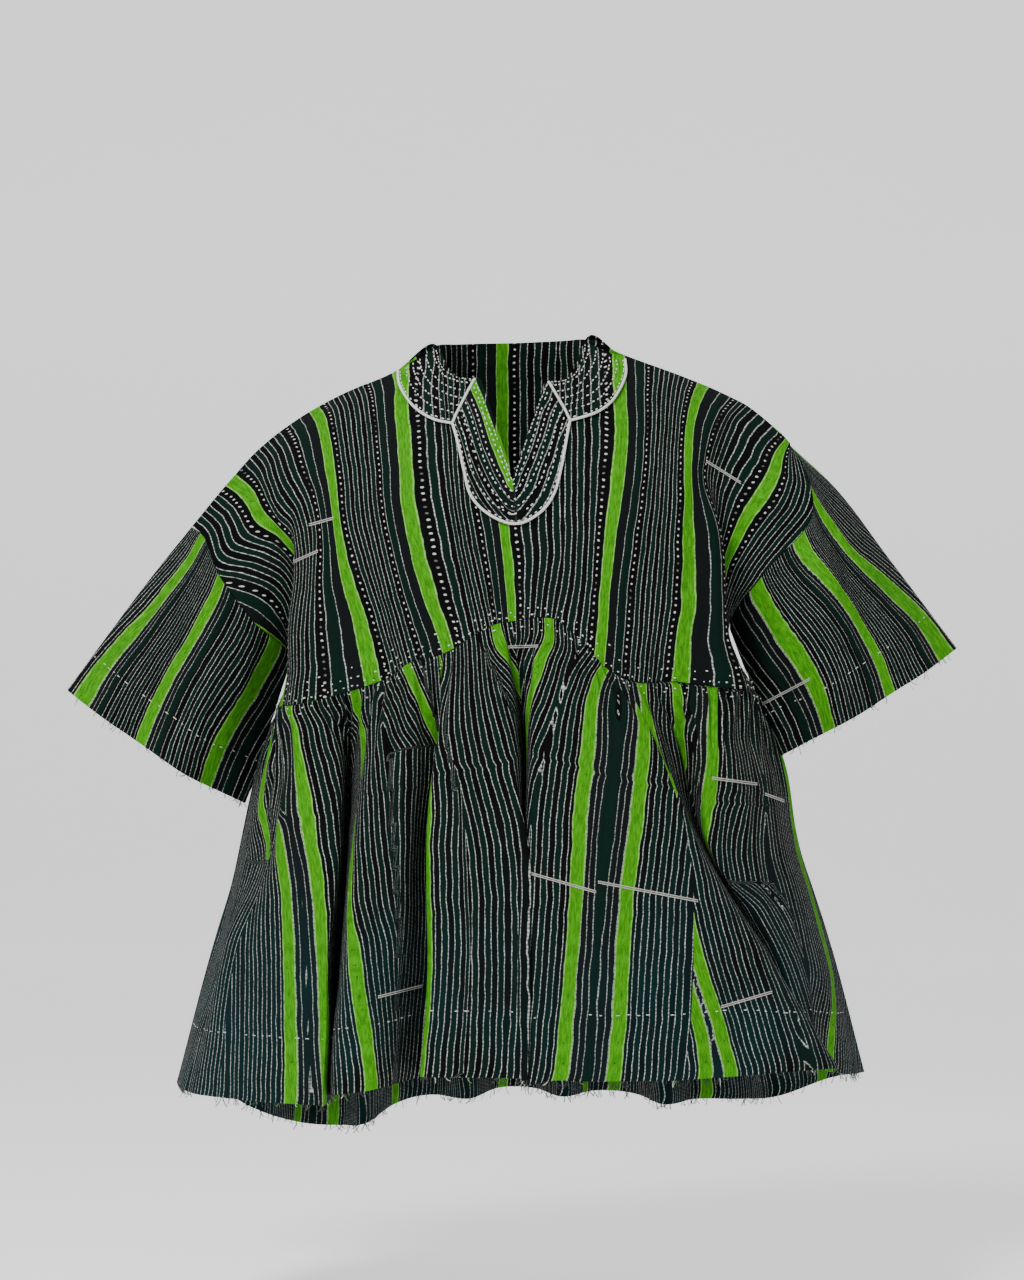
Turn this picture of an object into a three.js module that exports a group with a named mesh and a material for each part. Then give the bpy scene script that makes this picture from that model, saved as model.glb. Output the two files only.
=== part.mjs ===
// A fugu smock: a wide, gathered smock sewn from hand-woven cotton strips, hollow, as it hangs when worn.
// Millimetres. +X is the wearer's left, -Y the front, +Z up. The origin is the middle of the neck's base,
// level with the shoulders that carry the smock. Every piece of cloth is a wall of one thickness, worked
// out from a table of its threads or folds, and keeps a seam's gap to the next piece.
import * as THREE from "three";

// ---- Driving sizes ----
const CLOTH = 2; // the woven cloth, doubled at no seam
const FACING = 1.2; // the neck facings' cloth
const SEAM = 0.3; // between two pieces that are sewn together
const FACING_LIFT = 1.6; // from the yoke's cloth to a facing's underside
const YOKE_STEP = 26; // the widest facet across the yoke
const NECK_STEP = 13; // and near the neck, under the facings
const NECK_REACH = 125; // how far from the middle that is
const SKIRT_STEP = 24; // the widest facet across the skirt
const GATHER = 3.4; // how far a gather stands out or in
const GATHER_DEPTH = 95; // how far below the seam the gathers run out
const NECK_HALF = 79; // the neck opening's half width, where it meets the shoulders
const V_FOOT = { x: 1, z: -137 }; // the lowest point of the notch in front
const V_HALF = 34; // the notch's half width at the neck edge

// A table's rows as objects, by the names of its columns.
function table(columns, ...rows) {
  const names = columns.split(" ");
  return rows.map((row) => Object.fromEntries(names.map((name, i) => [name, row[i]])));
}

// ---- The shoulder line, from one sleeve's seam to the other's: the garment's top outline ----
const SHOULDER = table("x z",
  [-336, -185], [-301, -143], [-272, -110], [-237, -81], [-201, -58], [-148, -33], [-122, -22],
  [-79, 5], [77, 11], [92, 3], [120, -6], [153, -18], [190, -32], [240, -55], [267, -72], [293, -101]);

// ---- The neck edge, in front and behind ----
const NECK_FRONT = table("x y z",
  [-79, 0, 5], [-70, -28, -16], [-57, -50, -31], [-35, -71, -34], [0, -80, -36], [34, -71, -37], [57, -50, -33], [69, -28, -13], [77, 0, 11]);
const NECK_BACK = table("x y z",
  [-79, 0, 5], [-58, 42, 9], [-34, 58, 11], [0, 64, 12], [34, 58, 13], [57, 42, 13], [77, 0, 11]);

// ---- The yoke's threads, from the wearer's right armhole to the left one. cloth: the thread's place
// across the woven panel. top: where it starts on the shoulder or the neck edge. x and y at three
// stations between there and the gathered seam, then the seam's point ----
const STATIONS = [0.27, 0.52, 0.73];
// Over the shoulder the cloth rolls: a share out of the way to the first station it is lifted by a share
// of the height between them, and by none at the neck. full: how far from the middle the roll is full.
const ROLL = { out: 0.42, lift: 0.22, full: 190 };
const ARMPIT_STRAND = 4; // which of an edge thread's points lies in the armpit
const THREADS = "cloth top x1 y1 x2 y2 x3 y3 x y z";
const YOKE_FRONT = table(THREADS,
  [-355, -336, -304, -44, -269, -48, -232, 0, -234, 0, -376],
  [-295, -293, -247, -50, -226, -36, -225, -27, -238, -45, -375],
  [-272, -272, -240, -62, -219, -38, -217, -32, -237, -64, -374],
  [-250, -254, -225, -72, -226, -73, -231, -79, -230, -84, -372],
  [-228, -231, -207, -82, -205, -95, -211, -99, -211, -98, -369],
  [-200, -206, -186, -84, -176, -107, -161, -112, -142, -113, -349],
  [-152, -164, -148, -84, -139, -114, -126, -121, -104, -121, -327],
  [-105, -120, -108, -84, -103, -115, -90, -126, -63, -127, -315],
  [-79, -79, -72, -82, -67, -113, -57, -128, -38, -129, -299],
  [-68, -70, -63, -90, -58, -116, -49, -129, -31, -129, -295],
  [-57, -57, -53, -97, -49, -119, -41, -129, -24, -129, -291],
  [-35, -35, -33, -103, -30, -121, -24, -130, -14, -129, -287],
  [0, 0, 0, -107, 0, -124, 0, -131, 4, -130, -285],
  [34, 34, 34, -103, 35, -121, 35, -130, 28, -129, -281],
  [57, 57, 57, -97, 57, -119, 56, -129, 46, -129, -284],
  [69, 69, 67, -90, 67, -116, 66, -129, 56, -129, -292],
  [80, 77, 77, -82, 77, -113, 75, -128, 66, -128, -300],
  [112, 112, 113, -82, 105, -114, 98, -126, 90, -126, -328],
  [155, 158, 149, -83, 141, -112, 134, -120, 126, -121, -347],
  [200, 201, 181, -80, 180, -103, 178, -109, 168, -110, -347],
  [232, 232, 203, -72, 218, -80, 221, -84, 227, -81, -356],
  [256, 250, 218, -54, 211, -44, 212, -36, 236, -62, -358],
  [285, 282, 253, -52, 221, -40, 217, -28, 240, -40, -360],
  [345, 293, 312, -42, 260, -46, 228, 0, 238, 0, -362]);
const YOKE_BACK = table(THREADS,
  [-355, -336, -304, 44, -269, 48, -232, 0, -234, 0, -376],
  [-295, -293, -250, 52, -232, 40, -228, 34, -236, 44, -372],
  [-262, -262, -228, 60, -216, 46, -220, 48, -230, 66, -366],
  [-228, -231, -210, 72, -206, 82, -208, 85, -208, 86, -352],
  [-176, -180, -166, 72, -158, 97, -152, 102, -146, 102, -332],
  [-120, -122, -116, 66, -110, 98, -106, 110, -98, 110, -312],
  [-79, -79, -77, 66, -73, 98, -68, 113, -62, 113, -300],
  [-58, -58, -56, 75, -53, 101, -49, 114, -44, 114, -296],
  [-35, -34, -33, 82, -31, 104, -29, 115, -27, 115, -292],
  [0, 0, 0, 86, 1, 107, 2, 116, 3, 116, -290],
  [34, 34, 34, 82, 34, 104, 34, 115, 33, 115, -292],
  [57, 57, 56, 75, 55, 101, 53, 114, 51, 114, -296],
  [80, 77, 77, 66, 75, 98, 71, 113, 68, 113, -300],
  [120, 120, 118, 66, 112, 98, 106, 110, 102, 110, -312],
  [176, 180, 168, 72, 160, 97, 152, 102, 148, 102, -330],
  [228, 226, 206, 72, 205, 82, 206, 85, 212, 86, -346],
  [256, 250, 222, 56, 214, 44, 216, 46, 233, 66, -352],
  [285, 278, 254, 50, 226, 38, 220, 32, 239, 44, -358],
  [345, 293, 312, 42, 260, 46, 228, 0, 238, 0, -362]);

// ---- The skirt's folds, from the wearer's right side to the left one: a row for each crest, valley or
// gore seam. cloth: the yoke thread under which it starts. x and y at three heights, then the hem's point ----
const HEIGHTS = [-400, -500, -620];
const FOLDS = "cloth x1 y1 x2 y2 x3 y3 x y z";
const SKIRT_FRONT = table(FOLDS,
  [-355, -247, 0, -275, 2, -313, 6, -353, 10, -770],
  [-300, -238, -50, -260, -58, -298, -64, -335, -74, -770],
  [-262, -229, -84, -231, -104, -281, -108, -299, -128, -770],
  [-245, -221, -98, -224, -130, -230, -156, -240, -184, -769],
  [-236, -214, -108, -202, -146, -194, -180, -196, -206, -769],
  [-226, -186, -112, -177, -150, -184, -184, -188, -214, -769],
  [-210, -166, -86, -170, -96, -176, -116, -182, -140, -766],
  [-196, -143, -136, -159, -162, -170, -186, -182, -198, -760],
  [-162, -112, -144, -117, -172, -130, -200, -142, -228, -752],
  [-118, -70, -126, -80, -136, -78, -156, -86, -176, -742],
  [-106, -75, -150, -86, -174, -83, -204, -90, -230, -738],
  [-86, -36, -154, -10, -180, -4, -212, -8, -240, -738],
  [-42, 3, -148, 9, -174, 7, -206, 6, -234, -742],
  [-6, 12, -106, 13, -112, 12, -130, 10, -160, -742],
  [34, 22, -150, 16, -176, 14, -207, 13, -236, -745],
  [86, 78, -152, 70, -180, 61, -210, 48, -242, -740],
  [126, 134, -150, 123, -174, 110, -204, 102, -234, -742],
  [138, 142, -144, 176, -158, 182, -194, 172, -222, -742],
  [150, 145, -136, 182, -150, 240, -170, 299, -170, -738],
  [180, 170, -104, 191, -102, 252, -98, 303, -90, -740],
  [212, 194, -134, 197, -136, 267, -120, 310, -108, -742],
  [262, 232, -84, 256, -86, 304, -78, 342, -68, -752],
  [345, 260, 0, 294, 2, 334, 6, 371, 10, -759]);
const SKIRT_BACK = table(FOLDS,
  [-355, -247, 0, -275, 2, -313, 6, -353, 10, -770],
  [-290, -242, 64, -262, 76, -290, 90, -318, 106, -786],
  [-262, -224, 70, -236, 62, -252, 56, -268, 60, -806],
  [-238, -206, 102, -212, 122, -222, 142, -236, 166, -830],
  [-204, -178, 112, -178, 134, -182, 158, -184, 186, -836],
  [-178, -152, 98, -152, 96, -156, 102, -160, 112, -826],
  [-150, -128, 124, -128, 148, -130, 176, -132, 206, -816],
  [-104, -86, 128, -86, 152, -84, 180, -82, 214, -806],
  [-78, -60, 110, -58, 112, -54, 122, -48, 138, -802],
  [-50, -36, 134, -32, 158, -26, 188, -18, 222, -800],
  [-8, 4, 134, 10, 160, 18, 190, 28, 222, -800],
  [20, 30, 114, 36, 118, 44, 128, 56, 144, -800],
  [48, 54, 132, 62, 156, 72, 184, 86, 216, -802],
  [96, 98, 126, 108, 148, 120, 176, 138, 204, -804],
  [124, 120, 106, 132, 104, 148, 112, 166, 122, -806],
  [152, 146, 118, 158, 140, 176, 162, 196, 186, -808],
  [204, 186, 106, 202, 124, 226, 142, 252, 156, -804],
  [236, 212, 78, 228, 70, 252, 66, 278, 66, -792],
  [284, 248, 62, 272, 74, 304, 86, 336, 96, -776],
  [345, 260, 0, 294, 2, 334, 6, 371, 10, -759]);

// ---- The sleeves: the line of the top fold and of the cuff, seen from the front ----
const SLEEVES = {
  right: {
    edge: -1,
    outer: table("x z", [-380, -240], [-428, -304]),
    cuff: table("x z", [-467, -357], [-380, -416], [-324, -453], [-279, -476]),
    bulge: { armhole: 0, middle: 22, cuff: 56 },
    folds: table("seam cuff width depth", [0.3, 0.22, 0.1, 6], [0.52, 0.42, 0.12, -12],
      [0.74, 0.66, 0.1, 9], [0.95, 0.86, 0.09, -8]),
  },
  left: {
    edge: 1,
    outer: table("x z", [336, -141], [396, -219]),
    cuff: table("x z", [467, -313], [384, -367], [326, -401], [280, -427]),
    bulge: { armhole: 0, middle: 24, cuff: 54 },
    folds: table("seam cuff width depth", [0.28, 0.2, 0.1, 7], [0.46, 0.4, 0.11, -11],
      [0.7, 0.62, 0.1, 10], [0.93, 0.84, 0.09, -9]),
  },
};
const SLEEVE_GAP = 2.4 * SEAM; // the armhole's seam turns sharply under the arm
const SLEEVE_ROWS = [0, 0.12, 0.26, 0.41, 0.56, 0.71, 0.86, 1];

// ---- The facings: pairs of points on their inner and outer edges, seen from the front ----
const PAIR = "x z outerX outerZ";
const COLLAR_RIGHT = table(PAIR,
  [-77, 1, -119, -24], [-75, -10, -117, -40], [-71, -20, -107, -58], [-64, -28, -94, -71],
  [-51, -33, -78, -80], [-36.6, -36, -61.6, -84]);
const COLLAR_LEFT = table(PAIR,
  [35.6, -39, 60.2, -81], [50, -36, 77, -76], [63, -30, 93, -68], [70, -18, 107, -54],
  [74, -5, 118, -32], [75, 6, 118, -13]);
const COLLAR_BACK = table(PAIR,
  [-75, -2, -114, -32], [-69, 5, -99, -36], [-57, 8, -78, -34], [-34, 10, -45, -33],
  [0, 11, 0, -32], [34, 12, 45, -31], [57, 12, 78, -31], [69, 11, 101, -30], [76, 4, 118, -17]);
const PLACKET = table(PAIR,
  [-36, -37, -61, -84.6], [-28, -60, -54, -108], [-20, -84, -49, -132], [-13, -104, -42, -158],
  [-6, -124, -24, -177], [1, -142, 3, -187], [7, -124, 28, -176], [14, -102, 43, -156],
  [21, -80, 50, -130], [28, -58, 54, -108], [35, -40, 59.6, -81.6]);

// ---- Smooth curves through given points ----
// The value at t of a cubic through values at the knots: three-point slopes inside, straight ends.
function through(knots, values, t) {
  const last = knots.length - 1;
  let i = 0;
  while (i < last - 1 && t > knots[i + 1]) {
    i += 1;
  }
  const rise = (k) => values[k + 1].clone().sub(values[k]).divideScalar(knots[k + 1] - knots[k]);
  const slope = (k) => {
    if (k === 0) {
      return rise(0);
    }
    if (k === last) {
      return rise(last - 1);
    }
    const before = knots[k] - knots[k - 1];
    const after = knots[k + 1] - knots[k];
    return rise(k - 1).multiplyScalar(after).addScaledVector(rise(k), before).divideScalar(before + after);
  };
  const span = knots[i + 1] - knots[i];
  const s = (t - knots[i]) / span;
  const point = values[i].clone().multiplyScalar((1 + 2 * s) * (1 - s) ** 2);
  point.addScaledVector(values[i + 1], s * s * (3 - 2 * s));
  point.addScaledVector(slope(i), s * (1 - s) ** 2 * span);
  return point.addScaledVector(slope(i + 1), s * s * (s - 1) * span);
}

// A strand through points, from 0 at its first to 1 at its last, by the distance along it.
function strand(points) {
  const knots = [0];
  for (let i = 1; i < points.length; i += 1) {
    knots.push(knots[i - 1] + points[i].distanceTo(points[i - 1]));
  }
  const total = knots.at(-1);
  const shares = knots.map((k) => k / total);
  return { shares, at: (v) => through(shares, points, v) };
}

// A sheet through strands that lie side by side at the given places.
function sheet(places, strands) {
  return { places, strands, at: (u, v) => through(places, strands.map((s) => s.at(v)), u) };
}

// The height of a line of points, given x and z, at x.
function heightAt(line, x) {
  const points = line.map((p) => new THREE.Vector3(p.x, 0, p.z));
  return through(line.map((p) => p.x), points, x).z;
}

// ---- The yoke ----
// Where a thread starts: on the shoulder line, or on the neck edge between the shoulders.
function threadTop(x, neck) {
  const edge = neck.find((p) => p.x === x);
  if (edge) {
    return new THREE.Vector3(edge.x, edge.y, edge.z);
  }
  return new THREE.Vector3(x, 0, heightAt(SHOULDER, x));
}

function yokeSheet(rows, neck) {
  const strands = rows.map((row) => {
    const top = threadTop(row.top, neck);
    const seam = new THREE.Vector3(row.x, row.y, row.z);
    const height = (k) => top.z + STATIONS[k] * (seam.z - top.z);
    const middle = [0, 1, 2].map((k) => new THREE.Vector3(row[`x${k + 1}`], row[`y${k + 1}`], height(k)));
    const rolled = THREE.MathUtils.smoothstep(Math.abs(top.x), NECK_HALF - 10, ROLL.full);
    const over = top.clone().lerp(middle[0], ROLL.out);
    over.z += rolled * ROLL.lift * (top.z - middle[0].z);
    return strand([top, over, ...middle, seam]);
  });
  return sheet(rows.map((row) => row.cloth), strands);
}
const yokeFront = yokeSheet(YOKE_FRONT, NECK_FRONT);
const yokeBack = yokeSheet(YOKE_BACK, NECK_BACK);

// How far down a front thread the notch cuts it: where the thread meets the notch's straight edge.
function notchShare(cloth) {
  if (Math.abs(cloth) >= V_HALF) {
    return 0;
  }
  const top = yokeFront.at(cloth, 0);
  const depth = top.z - V_FOOT.z;
  const edgeZ = V_FOOT.z + depth * (Math.abs(cloth - V_FOOT.x) / V_HALF);
  let low = 0;
  let high = 1;
  for (let i = 0; i < 30; i += 1) {
    const middle = (low + high) / 2;
    if (yokeFront.at(cloth, middle).z > edgeZ) {
      low = middle;
    } else {
      high = middle;
    }
  }
  return low;
}

// Places across a sheet: every strand, and as many between as the widest facet asks.
function columns(surface, step, closeStep, levels) {
  const width = (a, b) => Math.max(...levels.map((v) => surface.at(a, v).distanceTo(surface.at(b, v))));
  const places = [surface.places[0]];
  for (let i = 1; i < surface.places.length; i += 1) {
    const [from, to] = [surface.places[i - 1], surface.places[i]];
    const near = Math.max(Math.abs(from), Math.abs(to)) < NECK_REACH;
    const parts = Math.max(1, Math.ceil(width(from, to) / (near ? closeStep : step)));
    for (let k = 1; k <= parts; k += 1) {
      places.push(from + ((to - from) * k) / parts);
    }
  }
  return places;
}

// ---- Walls ----
// The outward directions of a grid of points, grid[column][row]. out is 1 where columns run to +X behind.
function directions(grid, out, wraps = false) {
  const last = grid.length - 1;
  return grid.map((column, i) => column.map((point, j) => {
    const before = grid[i > 0 ? i - 1 : wraps ? last : 0];
    const after = grid[i < last ? i + 1 : wraps ? 0 : last];
    const across = after[j].clone().sub(before[j]);
    const down = column[Math.min(j + 1, column.length - 1)].clone().sub(column[Math.max(j - 1, 0)]);
    return across.cross(down).normalize().multiplyScalar(out);
  }));
}

// Turns a direction into the plane of the shoulder line and the sides, so both pieces' edges match.
function level(direction) {
  return direction.setY(0).normalize();
}

// A closed wall: the grid, the same grid moved in by the thickness, and the rims between them.
function wall(grid, normals, thickness, out, wraps = false) {
  const count = grid[0].length;
  const positions = [];
  const add = (point) => positions.push(point.x, point.y, point.z);
  grid.forEach((column) => column.forEach(add));
  grid.forEach((column, i) => column.forEach((point, j) => {
    add(point.clone().addScaledVector(normals[i][j], -thickness));
  }));
  const inner = grid.length * count;
  const at = (i, j) => (i % grid.length) * count + j;
  const index = [];
  const quad = (a, b, c, d) => {
    const corners = out > 0 ? [a, b, c, a, c, d] : [a, c, b, a, d, c];
    index.push(...corners);
  };
  const spans = wraps ? grid.length : grid.length - 1;
  for (let i = 0; i < spans; i += 1) {
    for (let j = 0; j < count - 1; j += 1) {
      const [a, b, c, d] = [at(i, j), at(i + 1, j), at(i + 1, j + 1), at(i, j + 1)];
      quad(a, b, c, d);
      quad(a + inner, d + inner, c + inner, b + inner);
    }
    for (const [j, flip] of [[0, true], [count - 1, false]]) {
      const [a, b] = flip ? [at(i + 1, j), at(i, j)] : [at(i, j), at(i + 1, j)];
      quad(a, b, b + inner, a + inner);
    }
  }
  for (let j = 0; j < count - 1 && !wraps; j += 1) {
    quad(at(0, j), at(0, j + 1), at(0, j + 1) + inner, at(0, j) + inner);
    const end = grid.length - 1;
    quad(at(end, j + 1), at(end, j), at(end, j) + inner, at(end, j + 1) + inner);
  }
  const geometry = new THREE.BufferGeometry();
  geometry.setAttribute("position", new THREE.Float32BufferAttribute(positions, 3));
  geometry.setIndex(index);
  geometry.computeVertexNormals();
  return geometry;
}

// ---- The panels ----
const UPPER_ROWS = [0, 0.05, 0.1, 0.15, 0.2, 0.26, 0.34, 0.44, 0.56, 0.7, 0.85]; // shares of a thread's way to the armpit
const LOWER_ROWS = [0, 0.5, 1]; // and of its way from there to the gathered seam
const ARMPIT = UPPER_ROWS.length; // the row of the armpit
const SKIRT_ROWS = [0, 0.04, 0.1, 0.19, 0.31, 0.45, 0.6, 0.74, 0.87, 1];
const OUT = { front: -1, back: 1 };
const SURFACES = { front: yokeFront, back: yokeBack };
const NOTCH_PLACES = [-27, -19, -11, -4, 1, 6, 12, 20, 27];

// A thread's shares where the grid's rows cross it, from its start to the seam.
function rowShares(surface, cloth, start) {
  const [right, left] = [surface.strands[0], surface.strands.at(-1)].map((s) => s.shares[ARMPIT_STRAND]);
  const [first, last] = [surface.places[0], surface.places.at(-1)];
  const armpit = right + ((left - right) * (cloth - first)) / (last - first);
  const upper = UPPER_ROWS.map((share) => start + (armpit - start) * share);
  return [...upper, ...LOWER_ROWS.map((share) => armpit + (1 - armpit) * share)];
}

function yokeGrid(side) {
  const surface = SURFACES[side];
  const front = side === "front";
  let places = columns(surface, YOKE_STEP, NECK_STEP, [0, 0.3, 0.6, 1]);
  if (front) {
    places = [...places.filter((u) => Math.abs(u) >= V_HALF), ...NOTCH_PLACES].sort((a, b) => a - b);
  }
  const grid = places.map((u) => rowShares(surface, u, front ? notchShare(u) : 0).map((v) => surface.at(u, v)));
  const normals = directions(grid, OUT[side]);
  const half = (OUT[side] * SEAM) / 2;
  grid.forEach((column, i) => {
    const onShoulder = Math.abs(places[i]) >= NECK_HALF;
    const onSide = i === 0 || i === grid.length - 1;
    column.forEach((point, j) => {
      if ((onShoulder && j === 0) || (onSide && j >= ARMPIT)) {
        point.y = half;
        level(normals[i][j]);
      }
    });
  });
  return { places, grid, normals };
}
const yokes = { front: yokeGrid("front"), back: yokeGrid("back") };

// The value at a place between a grid's columns, along its last row.
function alongSeam(yoke, cloth, pick) {
  let i = 0;
  while (i < yoke.places.length - 2 && cloth > yoke.places[i + 1]) {
    i += 1;
  }
  const share = (cloth - yoke.places[i]) / (yoke.places[i + 1] - yoke.places[i]);
  return pick(i).at(-1).clone().lerp(pick(i + 1).at(-1), share);
}

// ---- The skirt: hung from the gathered seam, its folds opening towards the hem ----
const SKIRTS = { front: SKIRT_FRONT, back: SKIRT_BACK };
const SEAM_DROP = 2.6 * SEAM; // the seam slants and its gathers stand out, so this keeps the gap across it

function skirtSheet(side) {
  const strands = SKIRTS[side].map((row) => {
    const seam = SURFACES[side].at(row.cloth, 1);
    const middle = HEIGHTS.map((z, k) => new THREE.Vector3(row[`x${k + 1}`], row[`y${k + 1}`], z));
    return strand([seam, ...middle, new THREE.Vector3(row.x, row.y, row.z)]);
  });
  return sheet(SKIRTS[side].map((row) => row.cloth), strands);
}

// How much of a gather's depth stands at a distance below the seam: held flat by it, then full, then gone.
function gatherShare(distance) {
  const ease = THREE.MathUtils.smoothstep;
  return (0.25 + 0.75 * ease(distance, 0, 16)) * (1 - ease(distance, 20, GATHER_DEPTH));
}

function skirtGrid(side) {
  const surface = skirtSheet(side);
  const yoke = yokes[side];
  const places = columns(surface, SKIRT_STEP, SKIRT_STEP, [0.3, 0.6, 1]);
  const grid = places.map((u) => SKIRT_ROWS.map((v) => surface.at(u, v)));
  const half = (OUT[side] * SEAM) / 2;
  const ends = [0, grid.length - 1];
  grid.forEach((column, i) => {
    column[0].copy(alongSeam(yoke, places[i], (k) => yoke.grid[k]));
    column[0].z -= SEAM_DROP;
    if (ends.includes(i)) {
      column.forEach((point, j) => {
        point.y += j === 0 ? 0 : half;
      });
    }
  });
  const normals = directions(grid, OUT[side]);
  grid.forEach((column, i) => {
    normals[i][0] = alongSeam(yoke, places[i], (k) => yoke.normals[k]).normalize();
    if (ends.includes(i)) {
      normals[i].forEach(level);
      return;
    }
    const sign = i % 2 === 0 ? 1 : -1;
    const seamZ = column[0].z;
    column.forEach((point, j) => {
      point.addScaledVector(normals[i][j], sign * GATHER * gatherShare(seamZ - point.z));
    });
  });
  return { grid, normals };
}

// ---- The sleeves ----
// A yoke's armhole, from the shoulder round the front, the armpit and the back: each of its points with
// the yoke's own direction there, its side, and its share of the way from the top fold to the underarm.
function armhole(edge) {
  const at = (side, j) => {
    const { grid, normals } = yokes[side];
    const i = edge < 0 ? 0 : grid.length - 1;
    return { point: grid[i][j], normal: normals[i][j], side: OUT[side], share: j / ARMPIT };
  };
  const rows = Array.from({ length: ARMPIT + 1 }, (_, j) => j);
  const back = rows.slice(1, -1).reverse();
  return [...rows.map((j) => at("front", j)), ...back.map((j) => at("back", j))];
}

// A sleeve's grid: each column runs from the armhole to the cuff.
function sleeveGrid({ edge, outer, cuff, bulge, folds }) {
  const ring = armhole(edge);
  const starts = ring.map(({ point, share }) => (share % 1 === 0 ? point.clone().setY(0) : point.clone()));
  const top = strand([starts[0], ...outer.map((p) => new THREE.Vector3(p.x, 0, p.z)),
    new THREE.Vector3(cuff[0].x, 0, cuff[0].z)]);
  const hem = strand(cuff.map((p) => new THREE.Vector3(p.x, 0, p.z)));
  const straightTop = (q) => top.at(0).lerp(top.at(1), q);
  const grid = ring.map(({ side, share }, i) => SLEEVE_ROWS.map((q) => {
    const end = hem.at(share);
    const round = share % 1 === 0 ? 0 : Math.sin(Math.PI * share);
    end.y = side * bulge.cuff * round ** 0.7;
    const place = starts[i].clone().lerp(end, q);
    place.addScaledVector(top.at(q).sub(straightTop(q)), (1 - share) ** 2);
    place.y += side * bulge.middle * round * 4 * q * (1 - q);
    for (const fold of folds) {
      const centre = THREE.MathUtils.lerp(fold.seam, fold.cuff, q);
      const near = Math.exp(-(((share - centre) / fold.width) ** 2));
      place.y += side * fold.depth * near * THREE.MathUtils.smoothstep(q, 0, 0.5) * Math.sign(round);
    }
    return place;
  }));
  const normals = directions(grid, edge, true);
  // At the seam both walls end in one plane, midway between their directions, a gap apart.
  ring.forEach(({ normal, share }, i) => {
    const shared = normals[i][0].add(normal).normalize();
    if (share % 1 === 0) {
      level(shared);
    }
    normal.copy(shared);
    const along = starts[(i + 1) % ring.length].clone().sub(starts.at(i - 1));
    grid[i][0].addScaledVector(along.cross(shared).normalize(), -SLEEVE_GAP * edge);
  });
  return { grid, normals };
}

// ---- The facings: laid on the yoke, from its own points moved out ----
// The place and share of the sheet's point that shows at x and z from the front.
function locate(surface, x, z) {
  let [u, v] = [x, 0.3];
  for (let i = 0; i < 25; i += 1) {
    const point = surface.at(u, v);
    const across = surface.at(u + 1, v).sub(point);
    const down = surface.at(u, v + 0.01).sub(point).multiplyScalar(100);
    const [dx, dz] = [x - point.x, z - point.z];
    const scale = across.x * down.z - across.z * down.x;
    u += (dx * down.z - dz * down.x) / scale;
    v += THREE.MathUtils.clamp((across.x * dz - across.z * dx) / scale, -0.2, 0.2);
    v = THREE.MathUtils.clamp(v, -0.02, 1);
  }
  return [u, v];
}

const FACING_STEPS = 5; // from a facing's inner edge to its outer one
const PAIR_PARTS = 3; // between two of its pairs

function facing(pairs, side) {
  const surface = SURFACES[side];
  const knots = pairs.map((_, i) => i);
  const inner = pairs.map((p) => new THREE.Vector3(p.x, 0, p.z));
  const outer = pairs.map((p) => new THREE.Vector3(p.outerX, 0, p.outerZ));
  const grid = [];
  const normals = [];
  for (let k = 0; k <= (pairs.length - 1) * PAIR_PARTS; k += 1) {
    const [from, to] = [inner, outer].map((line) => through(knots, line, k / PAIR_PARTS));
    const column = [];
    const outward = [];
    for (let j = 0; j <= FACING_STEPS; j += 1) {
      const seen = from.clone().lerp(to, j / FACING_STEPS);
      const [u, v] = locate(surface, seen.x, seen.z);
      const point = surface.at(u, v);
      const across = surface.at(u + 1, v).sub(point);
      const down = surface.at(u, v + 0.01).sub(point);
      const normal = across.cross(down).normalize().multiplyScalar(OUT[side]);
      column.push(point.addScaledVector(normal, FACING_LIFT + FACING));
      outward.push(normal);
    }
    grid.push(column);
    normals.push(outward);
  }
  return wall(grid, normals, FACING, OUT[side]);
}

// ---- The garment ----
const cloth = new THREE.MeshStandardMaterial({ color: 0x16231f, roughness: 0.9, metalness: 0 });
const facingCloth = new THREE.MeshStandardMaterial({ color: 0x1b2623, roughness: 0.92, metalness: 0 });

function piece(name, geometry, material) {
  const mesh = new THREE.Mesh(geometry, material);
  mesh.name = name;
  return mesh;
}

const smock = new THREE.Group();
for (const side of ["front", "back"]) {
  const skirt = skirtGrid(side);
  smock.add(piece(`skirt_${side}`, wall(skirt.grid, skirt.normals, CLOTH, OUT[side]), cloth));
}
for (const [name, plan] of Object.entries(SLEEVES)) {
  const { grid, normals } = sleeveGrid(plan);
  smock.add(piece(`sleeve_${name}`, wall(grid, normals, CLOTH, plan.edge, true), cloth));
}
for (const side of ["front", "back"]) {
  const { grid, normals } = yokes[side]; // their armhole edges now match the sleeves'
  smock.add(piece(`yoke_${side}`, wall(grid, normals, CLOTH, OUT[side]), cloth));
}
smock.add(piece("neck_facing_right", facing(COLLAR_RIGHT, "front"), facingCloth));
smock.add(piece("neck_facing_left", facing(COLLAR_LEFT, "front"), facingCloth));
smock.add(piece("neck_facing_back", facing(COLLAR_BACK, "back"), facingCloth));
smock.add(piece("placket_facing", facing(PLACKET, "front"), facingCloth));

export default smock;
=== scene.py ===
"""Looks of a fugu smock: thin shells of striped, hand-woven cloth on the CAD's worn form, with its gathers,
creases, couched cords, stitches and frayed edges. Lengths are millimetres until a mesh is made, then metres.
+X is the wearer's left, -Y the front, +Z up."""
import math

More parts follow.
